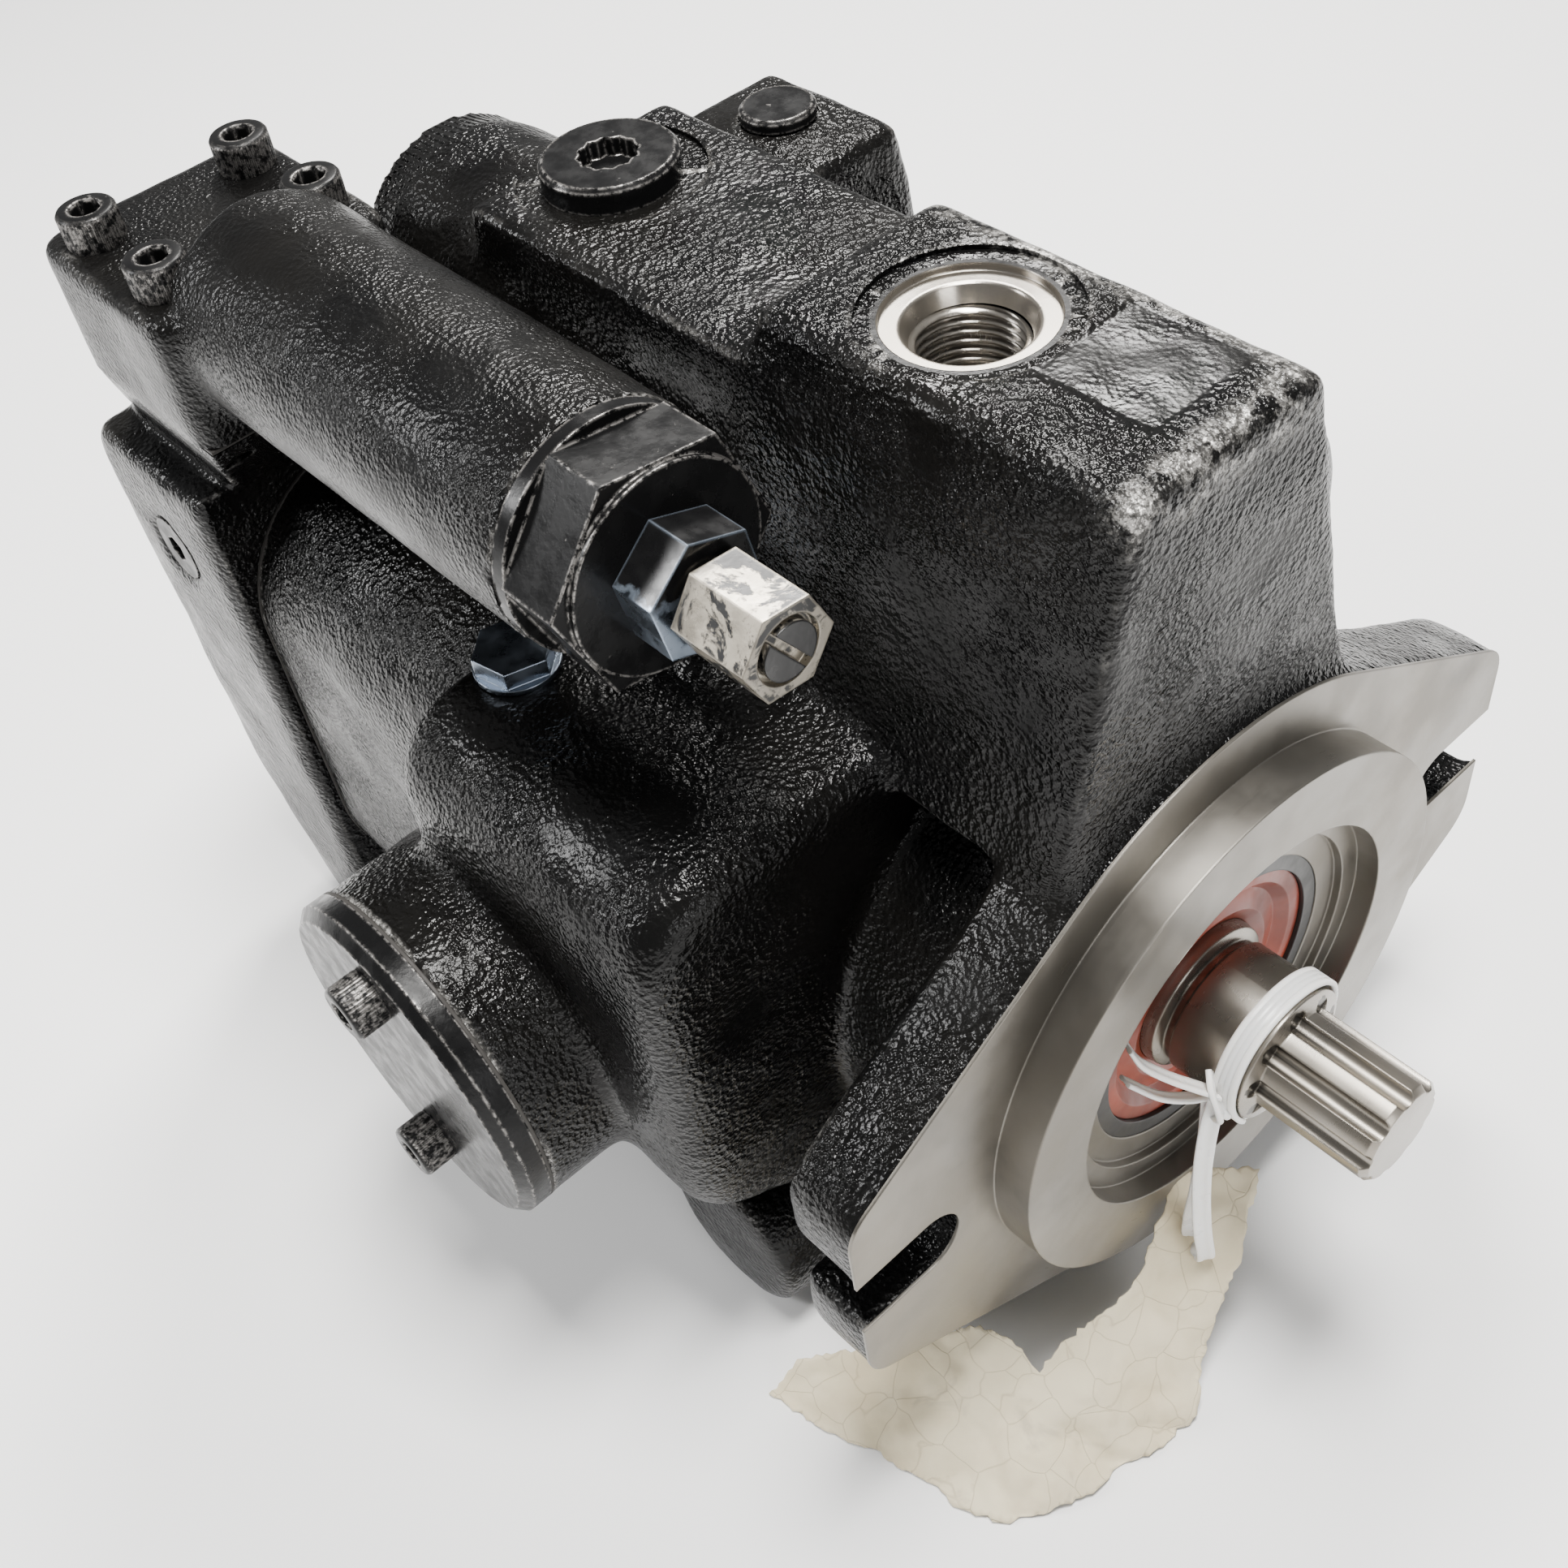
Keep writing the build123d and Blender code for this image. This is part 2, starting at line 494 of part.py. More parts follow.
with BuildPart() as valve_plate:
    tube_x(33, 13, REAR_FACE, BARREL_BACK - 0.05)
    for centre in (0, 180):
        with BuildSketch(Plane.YZ.offset(REAR_FACE)) as kidney:
            SlotArc(CenterArc((0, 0), PISTON_CIRCLE, centre - 50, 100), 7)
        extrude(kidney.sketch, amount=4, mode=Mode.SUBTRACT)
write(valve_plate, "valve_plate")

with BuildPart() as ball_guide:
    with Locations((PIVOT_X, 0, 0)):
        Sphere(13.0)
    disc_x(12.6, -90, PIVOT_X - 3)
    disc_x(9.05, -95, -50, mode=Mode.SUBTRACT)
    block((-60, PIVOT_X + 5.5), (-14, 14), (-14, 14), mode=Mode.SUBTRACT)
write(ball_guide, "ball_guide")

with BuildPart() as barrel_spring_washer:
    tube_x(14.0, 9.1, -92.2, -90.2)
write(barrel_spring_washer, "barrel_spring_washer")

coil_x("barrel_spring", -122.6, -93.6, 11.8, 1.2, 5)

for index in range(PISTONS):
    y, z = polar(PISTON_CIRCLE, index, PISTONS, 90)
    with BuildPart() as piston:
        disc_x(PISTON_R, -121, -79, y, z)
        disc_x(2.6, -80, PIVOT_X, y, z)
        with Locations((PIVOT_X, y, z)):
            Sphere(BALL_R)
        disc_x(4.2, -121, -94, y, z, mode=Mode.SUBTRACT)
    write(piston, f"piston_{index + 1}")

with BuildPart() as slippers:
    for index in range(PISTONS):
        y, z = polar(PISTON_CIRCLE, index, PISTONS, 90)
        disc_x(7.2, SHOE_FACE - 2.4, SHOE_FACE - 0.05, y, z)
        disc_x(5.9, PIVOT_X - 2.2, SHOE_FACE - 2.4, y, z)
    for index in range(PISTONS):
        y, z = polar(PISTON_CIRCLE, index, PISTONS, 90)
        with Locations((PIVOT_X, y, z)):
            Sphere(BALL_R + CLEARANCE, mode=Mode.SUBTRACT)
write(slippers, "slippers")

with BuildPart() as retainer_plate:
    tube_x(30.8, 13.1, SHOE_FACE - 4.4, SHOE_FACE - 2.5)
    for index in range(PISTONS):
        y, z = polar(PISTON_CIRCLE, index, PISTONS, 90)
        disc_x(6.2, SHOE_FACE - 5, SHOE_FACE - 2, y, z, mode=Mode.SUBTRACT)
write(retainer_plate, "retainer_plate")

# ---- swashplate and its control ---------------------------------------------------------
with BuildPart() as swashplate:
    disc_x(36, SHOE_FACE, SHOE_FACE + 9)
    for side, sign in (("-Y", -1), ("+Y", 1)):
        disc_on(facing(side, (PIVOT_X, sign * 38, 0)), 11.5, 12)
        block((PIVOT_X, SHOE_FACE + 9), (sign * 34, sign * 50), (-11.5, 11.5))
        disc_on(facing(side, (PIVOT_X, sign * 50, 0)), TRUNNION_R, 24)
    block((SHOE_FACE, SHOE_FACE + 9), (-7, 7), (30, 64))
    disc_x(34, SHOE_FACE - 20, SHOE_FACE, mode=Mode.SUBTRACT)
    disc_x(14.8, SHOE_FACE - 1, SHOE_FACE + 10, mode=Mode.SUBTRACT)
write(swashplate, "swashplate")

NOSE_R = 6.0


def plunger(tip, way, steps):
    """Turned plunger with a ball nose: steps are (distance behind the tip, radius) pairs."""
    centre = tip + way * NOSE_R
    points = [(centre, LEVER_Z + NOSE_R)]
    points += [(tip + way * far, LEVER_Z + radius) for far, radius in steps]
    points += [(points[-1][0], LEVER_Z), (tip, LEVER_Z)]
    with BuildSketch(Plane.XZ) as profile:
        with BuildLine():
            Polyline(*points)
            middle = (tip + way * NOSE_R * (1 - cos(radians(45))), LEVER_Z + NOSE_R * sin(radians(45)))
            ThreePointArc((tip, LEVER_Z), middle, (centre, LEVER_Z + NOSE_R))
        make_face()
    revolve(profile.sketch, axis=Axis((0, 0, LEVER_Z), (1, 0, 0)))


with BuildPart() as control_piston:
    plunger(SHOE_FACE - 0.3, -1, [(12, NOSE_R), (12, 9), (32.4, 9)])
write(control_piston, "control_piston")

with BuildPart() as bias_spring_seat:
    plunger(SHOE_FACE + 9.3, 1, [(11, NOSE_R), (11, 9.6), (13, 9.6), (13, 4.4), (20, 4.4)])
write(bias_spring_seat, "bias_spring_seat")

coil_x("bias_spring", -42.3, -15.6, 7.2, 1.2, 5, 0, LEVER_Z)

# ---- shipping tie and tag ---------------------------------------------------------------
with BuildPart() as cable_tie:
    tube_x(11.6, 10.25, 9.6, 14.0)
    with BuildLine() as strap:
        Spline((11.8, -10.9, -1.0), (12.8, -13.6, -12), (13.8, -13.8, -27), (13.4, -12.8, -38.0))
    with BuildSketch(Plane(origin=strap.line @ 0, x_dir=(0, -1, 0.3), z_dir=strap.line % 0)):
        RectangleRounded(2.6, 1.2, 0.5)
    sweep()
    with BuildLine() as loose_end:
        Spline((11.0, -10.9, -0.4), (8.2, -16.0, 4.0), (4.0, -20.5, 9.0))
    with BuildSketch(Plane(origin=loose_end.line @ 0, x_dir=(0, 0, 1), z_dir=loose_end.line % 0)):
        RectangleRounded(2.6, 1.2, 0.5)
    sweep()
    disc_x(10.25, 8.0, 15.0, mode=Mode.SUBTRACT)
write(cable_tie, "cable_tie")


def card(outline, thickness):
    """Flat card through an outline whose first three corners set its plane."""
    first, second, third = [Vector(*corner) for corner in outline[:3]]
    plane = Plane(origin=first, x_dir=second - first, z_dir=(second - first).cross(third - first))
    local = [plane.to_local_coords(Vector(*corner)) for corner in outline]
    with BuildSketch(plane) as flat:
        with BuildLine():
            Polyline(*[(corner.X, corner.Y) for corner in local], close=True)
        make_face()
    extrude(flat.sketch, amount=thickness)


with BuildPart() as tag:
    card(TAG_HANGING, TAG_THICK)
    card(TAG_LYING, TAG_THICK)
write(tag, "tag")
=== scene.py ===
import json
import math
import random

import bmesh
import bpy
import numpy as np
from mathutils import Matrix, Vector, noise
from mathutils.geometry import delaunay_2d_cdt


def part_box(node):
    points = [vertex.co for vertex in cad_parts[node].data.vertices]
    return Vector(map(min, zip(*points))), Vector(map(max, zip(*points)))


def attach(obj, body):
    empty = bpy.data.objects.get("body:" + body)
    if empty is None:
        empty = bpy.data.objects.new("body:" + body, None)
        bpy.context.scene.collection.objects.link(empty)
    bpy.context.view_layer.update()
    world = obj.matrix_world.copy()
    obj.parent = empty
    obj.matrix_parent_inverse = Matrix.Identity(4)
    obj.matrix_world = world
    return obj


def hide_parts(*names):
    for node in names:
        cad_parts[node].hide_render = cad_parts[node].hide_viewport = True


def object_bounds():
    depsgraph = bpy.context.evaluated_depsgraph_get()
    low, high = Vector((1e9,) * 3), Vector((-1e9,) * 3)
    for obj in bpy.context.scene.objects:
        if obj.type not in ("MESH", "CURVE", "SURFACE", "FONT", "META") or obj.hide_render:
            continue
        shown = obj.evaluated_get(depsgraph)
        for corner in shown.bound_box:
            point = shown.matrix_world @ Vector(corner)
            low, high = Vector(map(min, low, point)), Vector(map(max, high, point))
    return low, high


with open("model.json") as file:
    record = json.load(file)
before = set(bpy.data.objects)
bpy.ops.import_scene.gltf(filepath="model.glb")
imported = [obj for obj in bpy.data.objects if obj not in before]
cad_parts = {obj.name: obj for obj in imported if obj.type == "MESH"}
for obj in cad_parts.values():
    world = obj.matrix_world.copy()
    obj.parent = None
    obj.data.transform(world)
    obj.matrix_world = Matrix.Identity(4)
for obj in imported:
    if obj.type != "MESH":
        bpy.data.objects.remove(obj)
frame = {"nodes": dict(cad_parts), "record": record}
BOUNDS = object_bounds()
NODES = frame["nodes"]
MM = 0.001
SCENE = bpy.context.scene


# ---- node tree helper -------------------------------------------------------------------
class Tree:
    """Short way to build a material's nodes."""

    def __init__(self, name):
        self.mat = bpy.data.materials.new(name)
        self.mat.use_nodes = True
        self.nt = self.mat.node_tree
        self.nt.nodes.clear()
        self.out = self.nt.nodes.new("ShaderNodeOutputMaterial")
        self.bsdf = self.nt.nodes.new("ShaderNodeBsdfPrincipled")
        self.nt.links.new(self.bsdf.outputs[0], self.out.inputs[0])
        self.coord = self.nt.nodes.new("ShaderNodeTexCoord")
        self.pos = self.coord.outputs["Object"]

    def put(self, value, socket):
        if isinstance(value, bpy.types.NodeSocket):
            self.nt.links.new(value, socket)
        elif value is not None:
            socket.default_value = value

    def set(self, **values):
        for key, value in values.items():
            self.put(value, self.bsdf.inputs[key.replace("_", " ")])
        return self

    def node(self, kind, inputs=(), **attrs):
        n = self.nt.nodes.new(kind)
        for key, value in attrs.items():
            setattr(n, key, value)
        for key, value in dict(inputs).items():
            self.put(value, n.inputs[key])
        return n

    def noise(self, scale, detail=4.0, rough=0.55, vector=None, distortion=0.0):
        return self.node("ShaderNodeTexNoise", {
            "Vector": vector or self.pos, "Scale": scale, "Detail": detail,
            "Roughness": rough, "Distortion": distortion}).outputs[0]

    def voronoi(self, scale, feature="F1", smooth=0.4, vector=None):
        n = self.node("ShaderNodeTexVoronoi", {"Vector": vector or self.pos, "Scale": scale}, feature=feature)
        if feature == "SMOOTH_F1":
            n.inputs["Smoothness"].default_value = smooth
        return n.outputs["Distance"]

    def warped(self, amount, scale):
        """Position moved about a little, so cells lose their straight walls."""
        wander = self.node("ShaderNodeTexNoise", {"Vector": self.pos, "Scale": scale, "Detail": 2.0})
        add = self.nt.nodes.new("ShaderNodeVectorMath")
        add.operation = "MULTIPLY_ADD"
        self.put(wander.outputs["Color"], add.inputs[0])
        self.put((amount, amount, amount), add.inputs[1])
        self.put(self.pos, add.inputs[2])
        return add.outputs[0]

    def math(self, op, a, b=0.0, c=None, clamp=False):
        n = self.nt.nodes.new("ShaderNodeMath")
        n.operation = op
        n.use_clamp = clamp
        self.put(a, n.inputs[0])
        self.put(b, n.inputs[1])
        if c is not None:
            self.put(c, n.inputs[2])
        return n.outputs[0]

    def mul(self, a, b, clamp=False):
        return self.math("MULTIPLY", a, b, clamp=clamp)

    def add(self, a, b):
        return self.math("ADD", a, b)

    def sub(self, a, b):
        return self.math("SUBTRACT", a, b)

    def ramp(self, value, low, high, to_low=0.0, to_high=1.0, smooth=True):
        n = self.nt.nodes.new("ShaderNodeMapRange")
        n.interpolation_type = "SMOOTHSTEP" if smooth else "LINEAR"
        self.put(value, n.inputs[0])
        for i, v in enumerate((low, high, to_low, to_high)):
            self.put(v, n.inputs[i + 1])
        return n.outputs[0]

    def mix(self, fac, a, b):
        n = self.nt.nodes.new("ShaderNodeMix")
        n.data_type = "RGBA"
        self.put(fac, n.inputs[0])
        self.put(a, n.inputs[6])
        self.put(b, n.inputs[7])
        return n.outputs[2]

    def xyz(self):
        return self.node("ShaderNodeSeparateXYZ", {"Vector": self.pos}).outputs

    def convex(self, radius, low=0.02, high=0.25):
        """Near 1 on edges, from how far the rounded normal leans from the true one."""
        geo = self.nt.nodes.new("ShaderNodeNewGeometry")
        soft = self.node("ShaderNodeBevel", {"Radius": radius}, samples=6)
        dot = self.nt.nodes.new("ShaderNodeVectorMath")
        dot.operation = "DOT_PRODUCT"
        self.nt.links.new(soft.outputs[0], dot.inputs[0])
        self.nt.links.new(geo.outputs["Normal"], dot.inputs[1])
        lean = self.sub(1.0, dot.outputs["Value"])
        return self.ramp(lean, low, high)

    def pointy(self, low, high):
        geo = self.nt.nodes.new("ShaderNodeNewGeometry")
        return self.ramp(geo.outputs["Pointiness"], low, high)

    def bump(self, height, strength, distance, normal=None):
        n = self.node("ShaderNodeBump", {"Height": height, "Strength": strength, "Distance": distance})
        if normal is not None:
            self.nt.links.new(normal, n.inputs["Normal"])
        return n.outputs[0]

    def rounded(self, radius):
        return self.node("ShaderNodeBevel", {"Radius": radius}, samples=6).outputs[0]


# ---- materials --------------------------------------------------------------------------
def cast_paint(name, coarse, wear, rough=(0.15, 0.3), pebble=1250.0, bare=0.5):
    """Glossy black enamel over pebbled cast iron, rubbed grey on the outside edges."""
    t = Tree(name)
    x, y, z = t.xyz()[:3]
    big = t.noise(45, 3)
    fine = t.voronoi(pebble, "SMOOTH_F1", 0.55, vector=t.warped(0.0006, 300))
    small = t.voronoi(pebble * 2.1, "SMOOTH_F1", 0.5)
    grain = t.noise(pebble * 3.5, 2)
    patch = t.ramp(t.noise(70, 3), 0.34, 0.62, 0.25, 1.0)
    h = t.add(fine, t.mul(small, 0.35))
    h = t.mul(h, patch)
    h = t.add(h, t.mul(t.noise(380, 4, 0.6), 0.4))
    h = t.add(h, t.mul(grain, 0.05))
    # smooth pad beside the drain port
    pad = t.mul(t.ramp(t.math("ABSOLUTE", t.add(x, 0.0175)), 0.0094, 0.0078),
                t.ramp(t.math("ABSOLUTE", t.sub(y, 0.004)), 0.0094, 0.0078))
    pad = t.mul(pad, t.ramp(z, 0.0915, 0.0922))
    h = t.mul(h, t.sub(1.0, t.mul(pad, 0.85)))
    # chisel marks round the rear end of the hump
    turn = t.math("ARCTAN2", t.sub(z, 0.067), t.add(y, 0.004))
    uneven = t.mul(t.noise(120, 2), 0.08)
    teeth = t.math("SINE", t.mul(t.add(turn, uneven), 96.0))
    where = t.mul(t.math("LESS_THAN", x, -0.1352), t.math("GREATER_THAN", x, -0.1419))
    where = t.mul(where, t.math("GREATER_THAN", y, -0.0225))
    where = t.mul(where, t.ramp(z, 0.056, 0.06))
    h = t.add(h, t.mul(t.mul(teeth, 0.8), where))
    edge = t.pointy(0.512, 0.56)
    speck = t.ramp(t.noise(1300, 5, 0.75), 0.46, 0.58)
    broad = t.ramp(t.noise(75, 4, 0.6), 0.46, 0.62)
    rim = t.math("MAXIMUM", t.ramp(x, -0.0075, -0.003), t.ramp(y, 0.0105, 0.0145))
    crown = t.mul(t.ramp(z, 0.086, 0.0915), t.mul(rim, t.ramp(x, -0.062, -0.056)))
    crown = t.mul(crown, t.ramp(t.noise(260, 5, 0.7), 0.42, 0.6))
    mask = t.mul(edge, t.add(t.mul(broad, 0.8), t.mul(crown, 2.0)))
    mask = t.add(mask, t.mul(crown, 0.85))
    mask = t.mul(mask, t.add(t.mul(speck, 0.85), 0.15))
    mask = t.mul(mask, t.sub(1.0, pad))
    mask = t.mul(mask, wear, clamp=True)
    chips = t.ramp(t.noise(900, 5, 0.8), 0.735, 0.75)
    mask = t.math("MAXIMUM", mask, t.mul(chips, 0.3 * wear, clamp=True))
    paint_color = t.mix(t.ramp(big, 0.3, 0.7), (0.0022, 0.0022, 0.0023, 1), (0.005, 0.0047, 0.0043, 1))
    t.set(Base_Color=t.mix(mask, paint_color, (bare, bare * 0.97, bare * 0.92, 1)))
    shine = t.ramp(t.noise(110, 5, 0.6), 0.32, 0.68, rough[0], rough[1])
    t.set(Roughness=t.add(shine, t.mul(mask, 0.2)))
    t.set(Metallic=t.mul(mask, 0.75), Specular_IOR_Level=0.18)
    t.set(Normal=t.bump(h, 1.0, coarse))
    return t.mat


def turned_steel(name, base=(0.205, 0.193, 0.172), rough=(0.24, 0.42), rings=2600.0, streak=0.00002,
                 painted_groove_shade=0.0):
    """Machined steel with fine turning marks round the X axis, a little stained, with optional painted shade
    darkening its grooves.
    """
    t = Tree(name)
    x, y, z = t.xyz()[:3]
    r = t.math("SQRT", t.add(t.mul(y, y), t.mul(z, z)))
    both = t.add(r, t.mul(x, 0.9))
    comb = t.node("ShaderNodeCombineXYZ", {"X": both}).outputs[0]
    marks = t.noise(rings, 3, 0.7, vector=comb)
    stain = t.ramp(t.noise(38, 5, 0.62), 0.35, 0.75)
    warm = (base[0] * 0.8, base[1] * 0.74, base[2] * 0.64, 1)
    color = t.mix(t.mul(stain, 0.6), (*base, 1), warm)
    smear = t.ramp(t.noise(24, 4, 0.6, distortion=1.2), 0.56, 0.72, 0.0, 0.45)
    color = t.mix(smear, color, tuple(c * 0.45 for c in base) + (1,))
    if painted_groove_shade:
        # painted shade: concave grooves (low pointiness) are darkened towards near black, standing in for the
        # shade inside them
        color = t.mix(t.mul(t.pointy(0.495, 0.44), painted_groove_shade), color, (0.03, 0.027, 0.022, 1))
    t.set(Base_Color=color)
    t.set(Metallic=0.92)
    t.set(Roughness=t.add(t.ramp(t.noise(70, 4), 0.3, 0.7, *rough), t.mul(marks, 0.07)))
    t.set(Normal=t.bump(marks, 0.35, streak, t.rounded(0.0004)))
    return t.mat


def darker(base, share):
    return tuple(c * share for c in base) + (1,)


def plain_metal(name, base, rough):
    """Bare or plated metal with a fine grain and slightly uneven shine."""
    t = Tree(name)
    grain = t.noise(900, 4)
    t.set(Base_Color=t.mix(t.ramp(t.noise(120, 4), 0.35, 0.7), (*base, 1), darker(base, 0.72)))
    t.set(Metallic=1.0)
    t.set(Roughness=t.ramp(t.noise(260, 4), 0.3, 0.7, *rough))
    t.set(Normal=t.bump(grain, 0.3, 0.00001, t.rounded(0.0003)))
    return t.mat


def black_part(name, wear=1.0, rough=(0.22, 0.4), grain_scale=1400, depth=0.00003):
    """Black enamel or oxide on a machined piece, bright where its edges are rubbed."""
    t = Tree(name)
    e = t.convex(0.0006, 0.004, 0.05)
    speck = t.ramp(t.noise(1100, 5, 0.7), 0.42, 0.62)
    mask = t.mul(t.mul(e, speck), wear, clamp=True)
    scuff = t.mul(t.ramp(t.noise(420, 5, 0.72), 0.66, 0.72), 0.3 * wear)
    mask = t.math("MAXIMUM", mask, scuff)
    t.set(Base_Color=t.mix(mask, (0.005, 0.005, 0.0052, 1), (0.42, 0.4, 0.38, 1)))
    t.set(Metallic=t.mul(mask, 0.8), Specular_IOR_Level=0.15)
    t.set(Roughness=t.ramp(t.noise(300, 4), 0.3, 0.7, rough[0], rough[1]))
    t.set(Normal=t.bump(t.noise(grain_scale, 4), 0.6, depth, t.rounded(0.0003)))
    return t.mat


def soft_part(name, base, rough, sub=0.0, vary=0.8):
    """Rubber, fibre or nylon with a faint texture."""
    t = Tree(name)
    t.set(Base_Color=t.mix(t.ramp(t.noise(90, 4), 0.3, 0.7), (*base, 1), darker(base, vary)))
    t.set(Roughness=t.ramp(t.noise(200, 3), 0.3, 0.7, *rough))
    t.set(Normal=t.bump(t.noise(500, 5), 0.5, 0.00003, t.rounded(0.0003)))
    if sub:
        t.set(Subsurface_Weight=sub, Subsurface_Scale=0.002)
        t.bsdf.inputs["Subsurface Radius"].default_value = (0.6, 0.5, 0.4)
    return t.mat


def stained_card(name):
    """Cream card, creased and handled, with darker fold lines and grey smudges."""
    t = Tree(name)
    blot = t.ramp(t.noise(55, 5, 0.65), 0.36, 0.7)
    crease = t.ramp(t.voronoi(150, "DISTANCE_TO_EDGE", vector=t.warped(0.006, 90)), 0.0, 0.02)
    color = t.mix(blot, (0.70, 0.62, 0.44, 1), (0.60, 0.51, 0.34, 1))
    color = t.mix(t.mul(t.sub(1.0, crease), 0.35), color, (0.33, 0.27, 0.18, 1))
    smudge = t.ramp(t.noise(80, 4, 0.6, distortion=1.0), 0.6, 0.72, 0.0, 0.4)
    color = t.mix(smudge, color, (0.30, 0.26, 0.2, 1))
    t.set(Base_Color=color, Roughness=t.ramp(t.noise(300, 4), 0.3, 0.7, 0.5, 0.7), Specular_IOR_Level=0.35)
    folds = t.add(t.mul(crease, 0.5), t.mul(t.noise(700, 5), 0.35))
    t.set(Normal=t.bump(folds, 0.8, 0.00014))
    return t.mat


def lock_nut(name):
    """Plated nut, its upper flats still under black enamel."""
    t = Tree(name)
    y, z = t.xyz()[1:3]
    side = t.add(t.mul(t.add(y, 0.042), -0.35), t.mul(t.sub(z, 0.08), -0.94))
    side = t.add(side, t.mul(t.sub(t.noise(500, 4), 0.5), 0.004))
    bare = t.math("MAXIMUM", t.ramp(side, -0.0008, 0.0006), t.mul(t.convex(0.0005, 0.004, 0.05), 0.6))
    t.set(Base_Color=t.mix(bare, (0.005, 0.005, 0.0053, 1), (0.27, 0.32, 0.39, 1)))
    t.set(Metallic=bare, Roughness=t.ramp(t.noise(300, 4), 0.3, 0.7, 0.2, 0.38))
    t.set(Normal=t.bump(t.noise(1300, 4), 0.4, 0.00002, t.rounded(0.0003)))
    return t.mat


def rubbed_hex(name, end_x):
    """Black hexagon with flats rubbed to bare metal; its slotted end stays black."""
    t = Tree(name)
    x = t.xyz()[0]
    flat = t.ramp(t.noise(190, 5, 0.7, distortion=0.6), 0.45, 0.53)
    rub = t.mul(flat, t.ramp(x, end_x - 0.013, end_x - 0.009))
    rub = t.math("MAXIMUM", rub, t.mul(t.convex(0.0006, 0.004, 0.05), 0.85))
    rub = t.mul(rub, t.ramp(x, end_x - 0.0001, end_x - 0.0006))
    rub = t.mul(rub, t.ramp(t.noise(1500, 4), 0.25, 0.45, 0.6, 1.0))
    t.set(Base_Color=t.mix(rub, (0.005, 0.005, 0.0053, 1), (0.44, 0.40, 0.33, 1)))
    t.set(Metallic=t.mul(rub, 0.8), Roughness=t.ramp(t.noise(260, 4), 0.3, 0.7, 0.24, 0.42))
    t.set(Normal=t.bump(t.noise(900, 5), 0.6, 0.00004, t.rounded(0.0003)))
    return t.mat


MATS = {
    "cast_black": cast_paint("cast_black", 0.00036, 1.0),
    "comp_black": cast_paint("comp_black", 0.00025, 0.7, rough=(0.2, 0.34), pebble=1500),
    "cover_black": black_part("cover_black", wear=0.9, rough=(0.2, 0.38), depth=0.00009, grain_scale=900),
    "gasket": soft_part("gasket", (0.03, 0.027, 0.024), (0.6, 0.8)),
    "black_screw": black_part("black_screw", wear=1.2, rough=(0.26, 0.44)),
    "plug_black": black_part("plug_black", wear=0.9, rough=(0.18, 0.34)),
    "plug_steel": black_part("plug_steel", wear=0.6),
    "zinc": plain_metal("zinc", (0.26, 0.3, 0.36), (0.24, 0.4)),
    "lock_nut": lock_nut("lock_nut"),
    "rubbed_hex": rubbed_hex("rubbed_hex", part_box("adjusting_screw")[1][0]),
    "spring_steel": plain_metal("spring_steel", (0.3, 0.3, 0.3), (0.25, 0.4)),
    "steel": plain_metal("steel", (0.42, 0.41, 0.39), (0.2, 0.35)),
    "bronze": plain_metal("bronze", (0.62, 0.4, 0.2), (0.25, 0.4)),
    "shaft_steel": turned_steel("shaft_steel", (0.30, 0.28, 0.25), (0.16, 0.3), 5200.0, 0.000012, 0.85),
    "seal_black": soft_part("seal_black", (0.012, 0.012, 0.012), (0.35, 0.5)),
    "seal_orange": soft_part("seal_orange", (0.30, 0.035, 0.008), (0.32, 0.5), vary=0.5),
    "tie_nylon": soft_part("tie_nylon", (0.86, 0.85, 0.82), (0.26, 0.38), sub=0.3, vary=0.94),
    "tag_card": stained_card("tag_card"),
    "flange_steel": turned_steel("flange_steel"),
}
SLOTS = {row["node"]: row["material_slot"] for row in frame["record"]["subparts"]}


def paint(obj, mat):
    obj.data.materials.clear()
    obj.data.materials.append(MATS[mat] if isinstance(mat, str) else mat)
    return obj


OWN_LOOK = {"adjuster_lock_nut": "lock_nut", "adjusting_screw": "rubbed_hex"}
for node_name, node_obj in NODES.items():
    paint(node_obj, OWN_LOOK.get(node_name, SLOTS[node_name]))

# ---- camera, floor and light ------------------------------------------------------------
ROT = Matrix(((0.6689443148, 0.7346586879, -0.1130933953),
              (0.4969095680, -0.5551408118, -0.6670079162),
              (-0.5528059198, 0.3899939633, -0.7364172212)))
EYE = Vector((0.0854233, -0.1233271, 0.2093489))
cam_data = bpy.data.cameras.new("cam")
cam = bpy.data.objects.new("cam", cam_data)
SCENE.collection.objects.link(cam)
cam_data.sensor_width = 36.0
cam_data.lens = 2253.5 / 1932 * 36
cam_data.clip_start = 0.01
cam.matrix_world = Matrix.Translation(EYE) @ Matrix((ROT[0], -ROT[1], -ROT[2])).transposed().to_4x4()
SCENE.camera = cam


def stage_mesh(name, verts, faces, mat):
    mesh = bpy.data.meshes.new(name)
    mesh.from_pydata(verts, [], faces)
    obj = bpy.data.objects.new(name, mesh)
    SCENE.collection.objects.link(obj)
    obj.data.materials.append(mat)
    return obj


floor_tree = Tree("floor")
floor_tree.set(Base_Color=(0.93, 0.93, 0.93, 1), Roughness=0.7)
FLOOR_Z = -0.0581
S = 6.0
floor_corners = [(-S, -S, FLOOR_Z), (S, -S, FLOOR_Z), (S, S, FLOOR_Z), (-S, S, FLOOR_Z)]
stage_mesh("floor", floor_corners, [(0, 1, 2, 3)], floor_tree.mat)

world = bpy.data.worlds.new("world")
world.use_nodes = True
world.node_tree.nodes["Background"].inputs[0].default_value = (1, 1, 1, 1)
world.node_tree.nodes["Background"].inputs[1].default_value = 0.3
SCENE.world = world


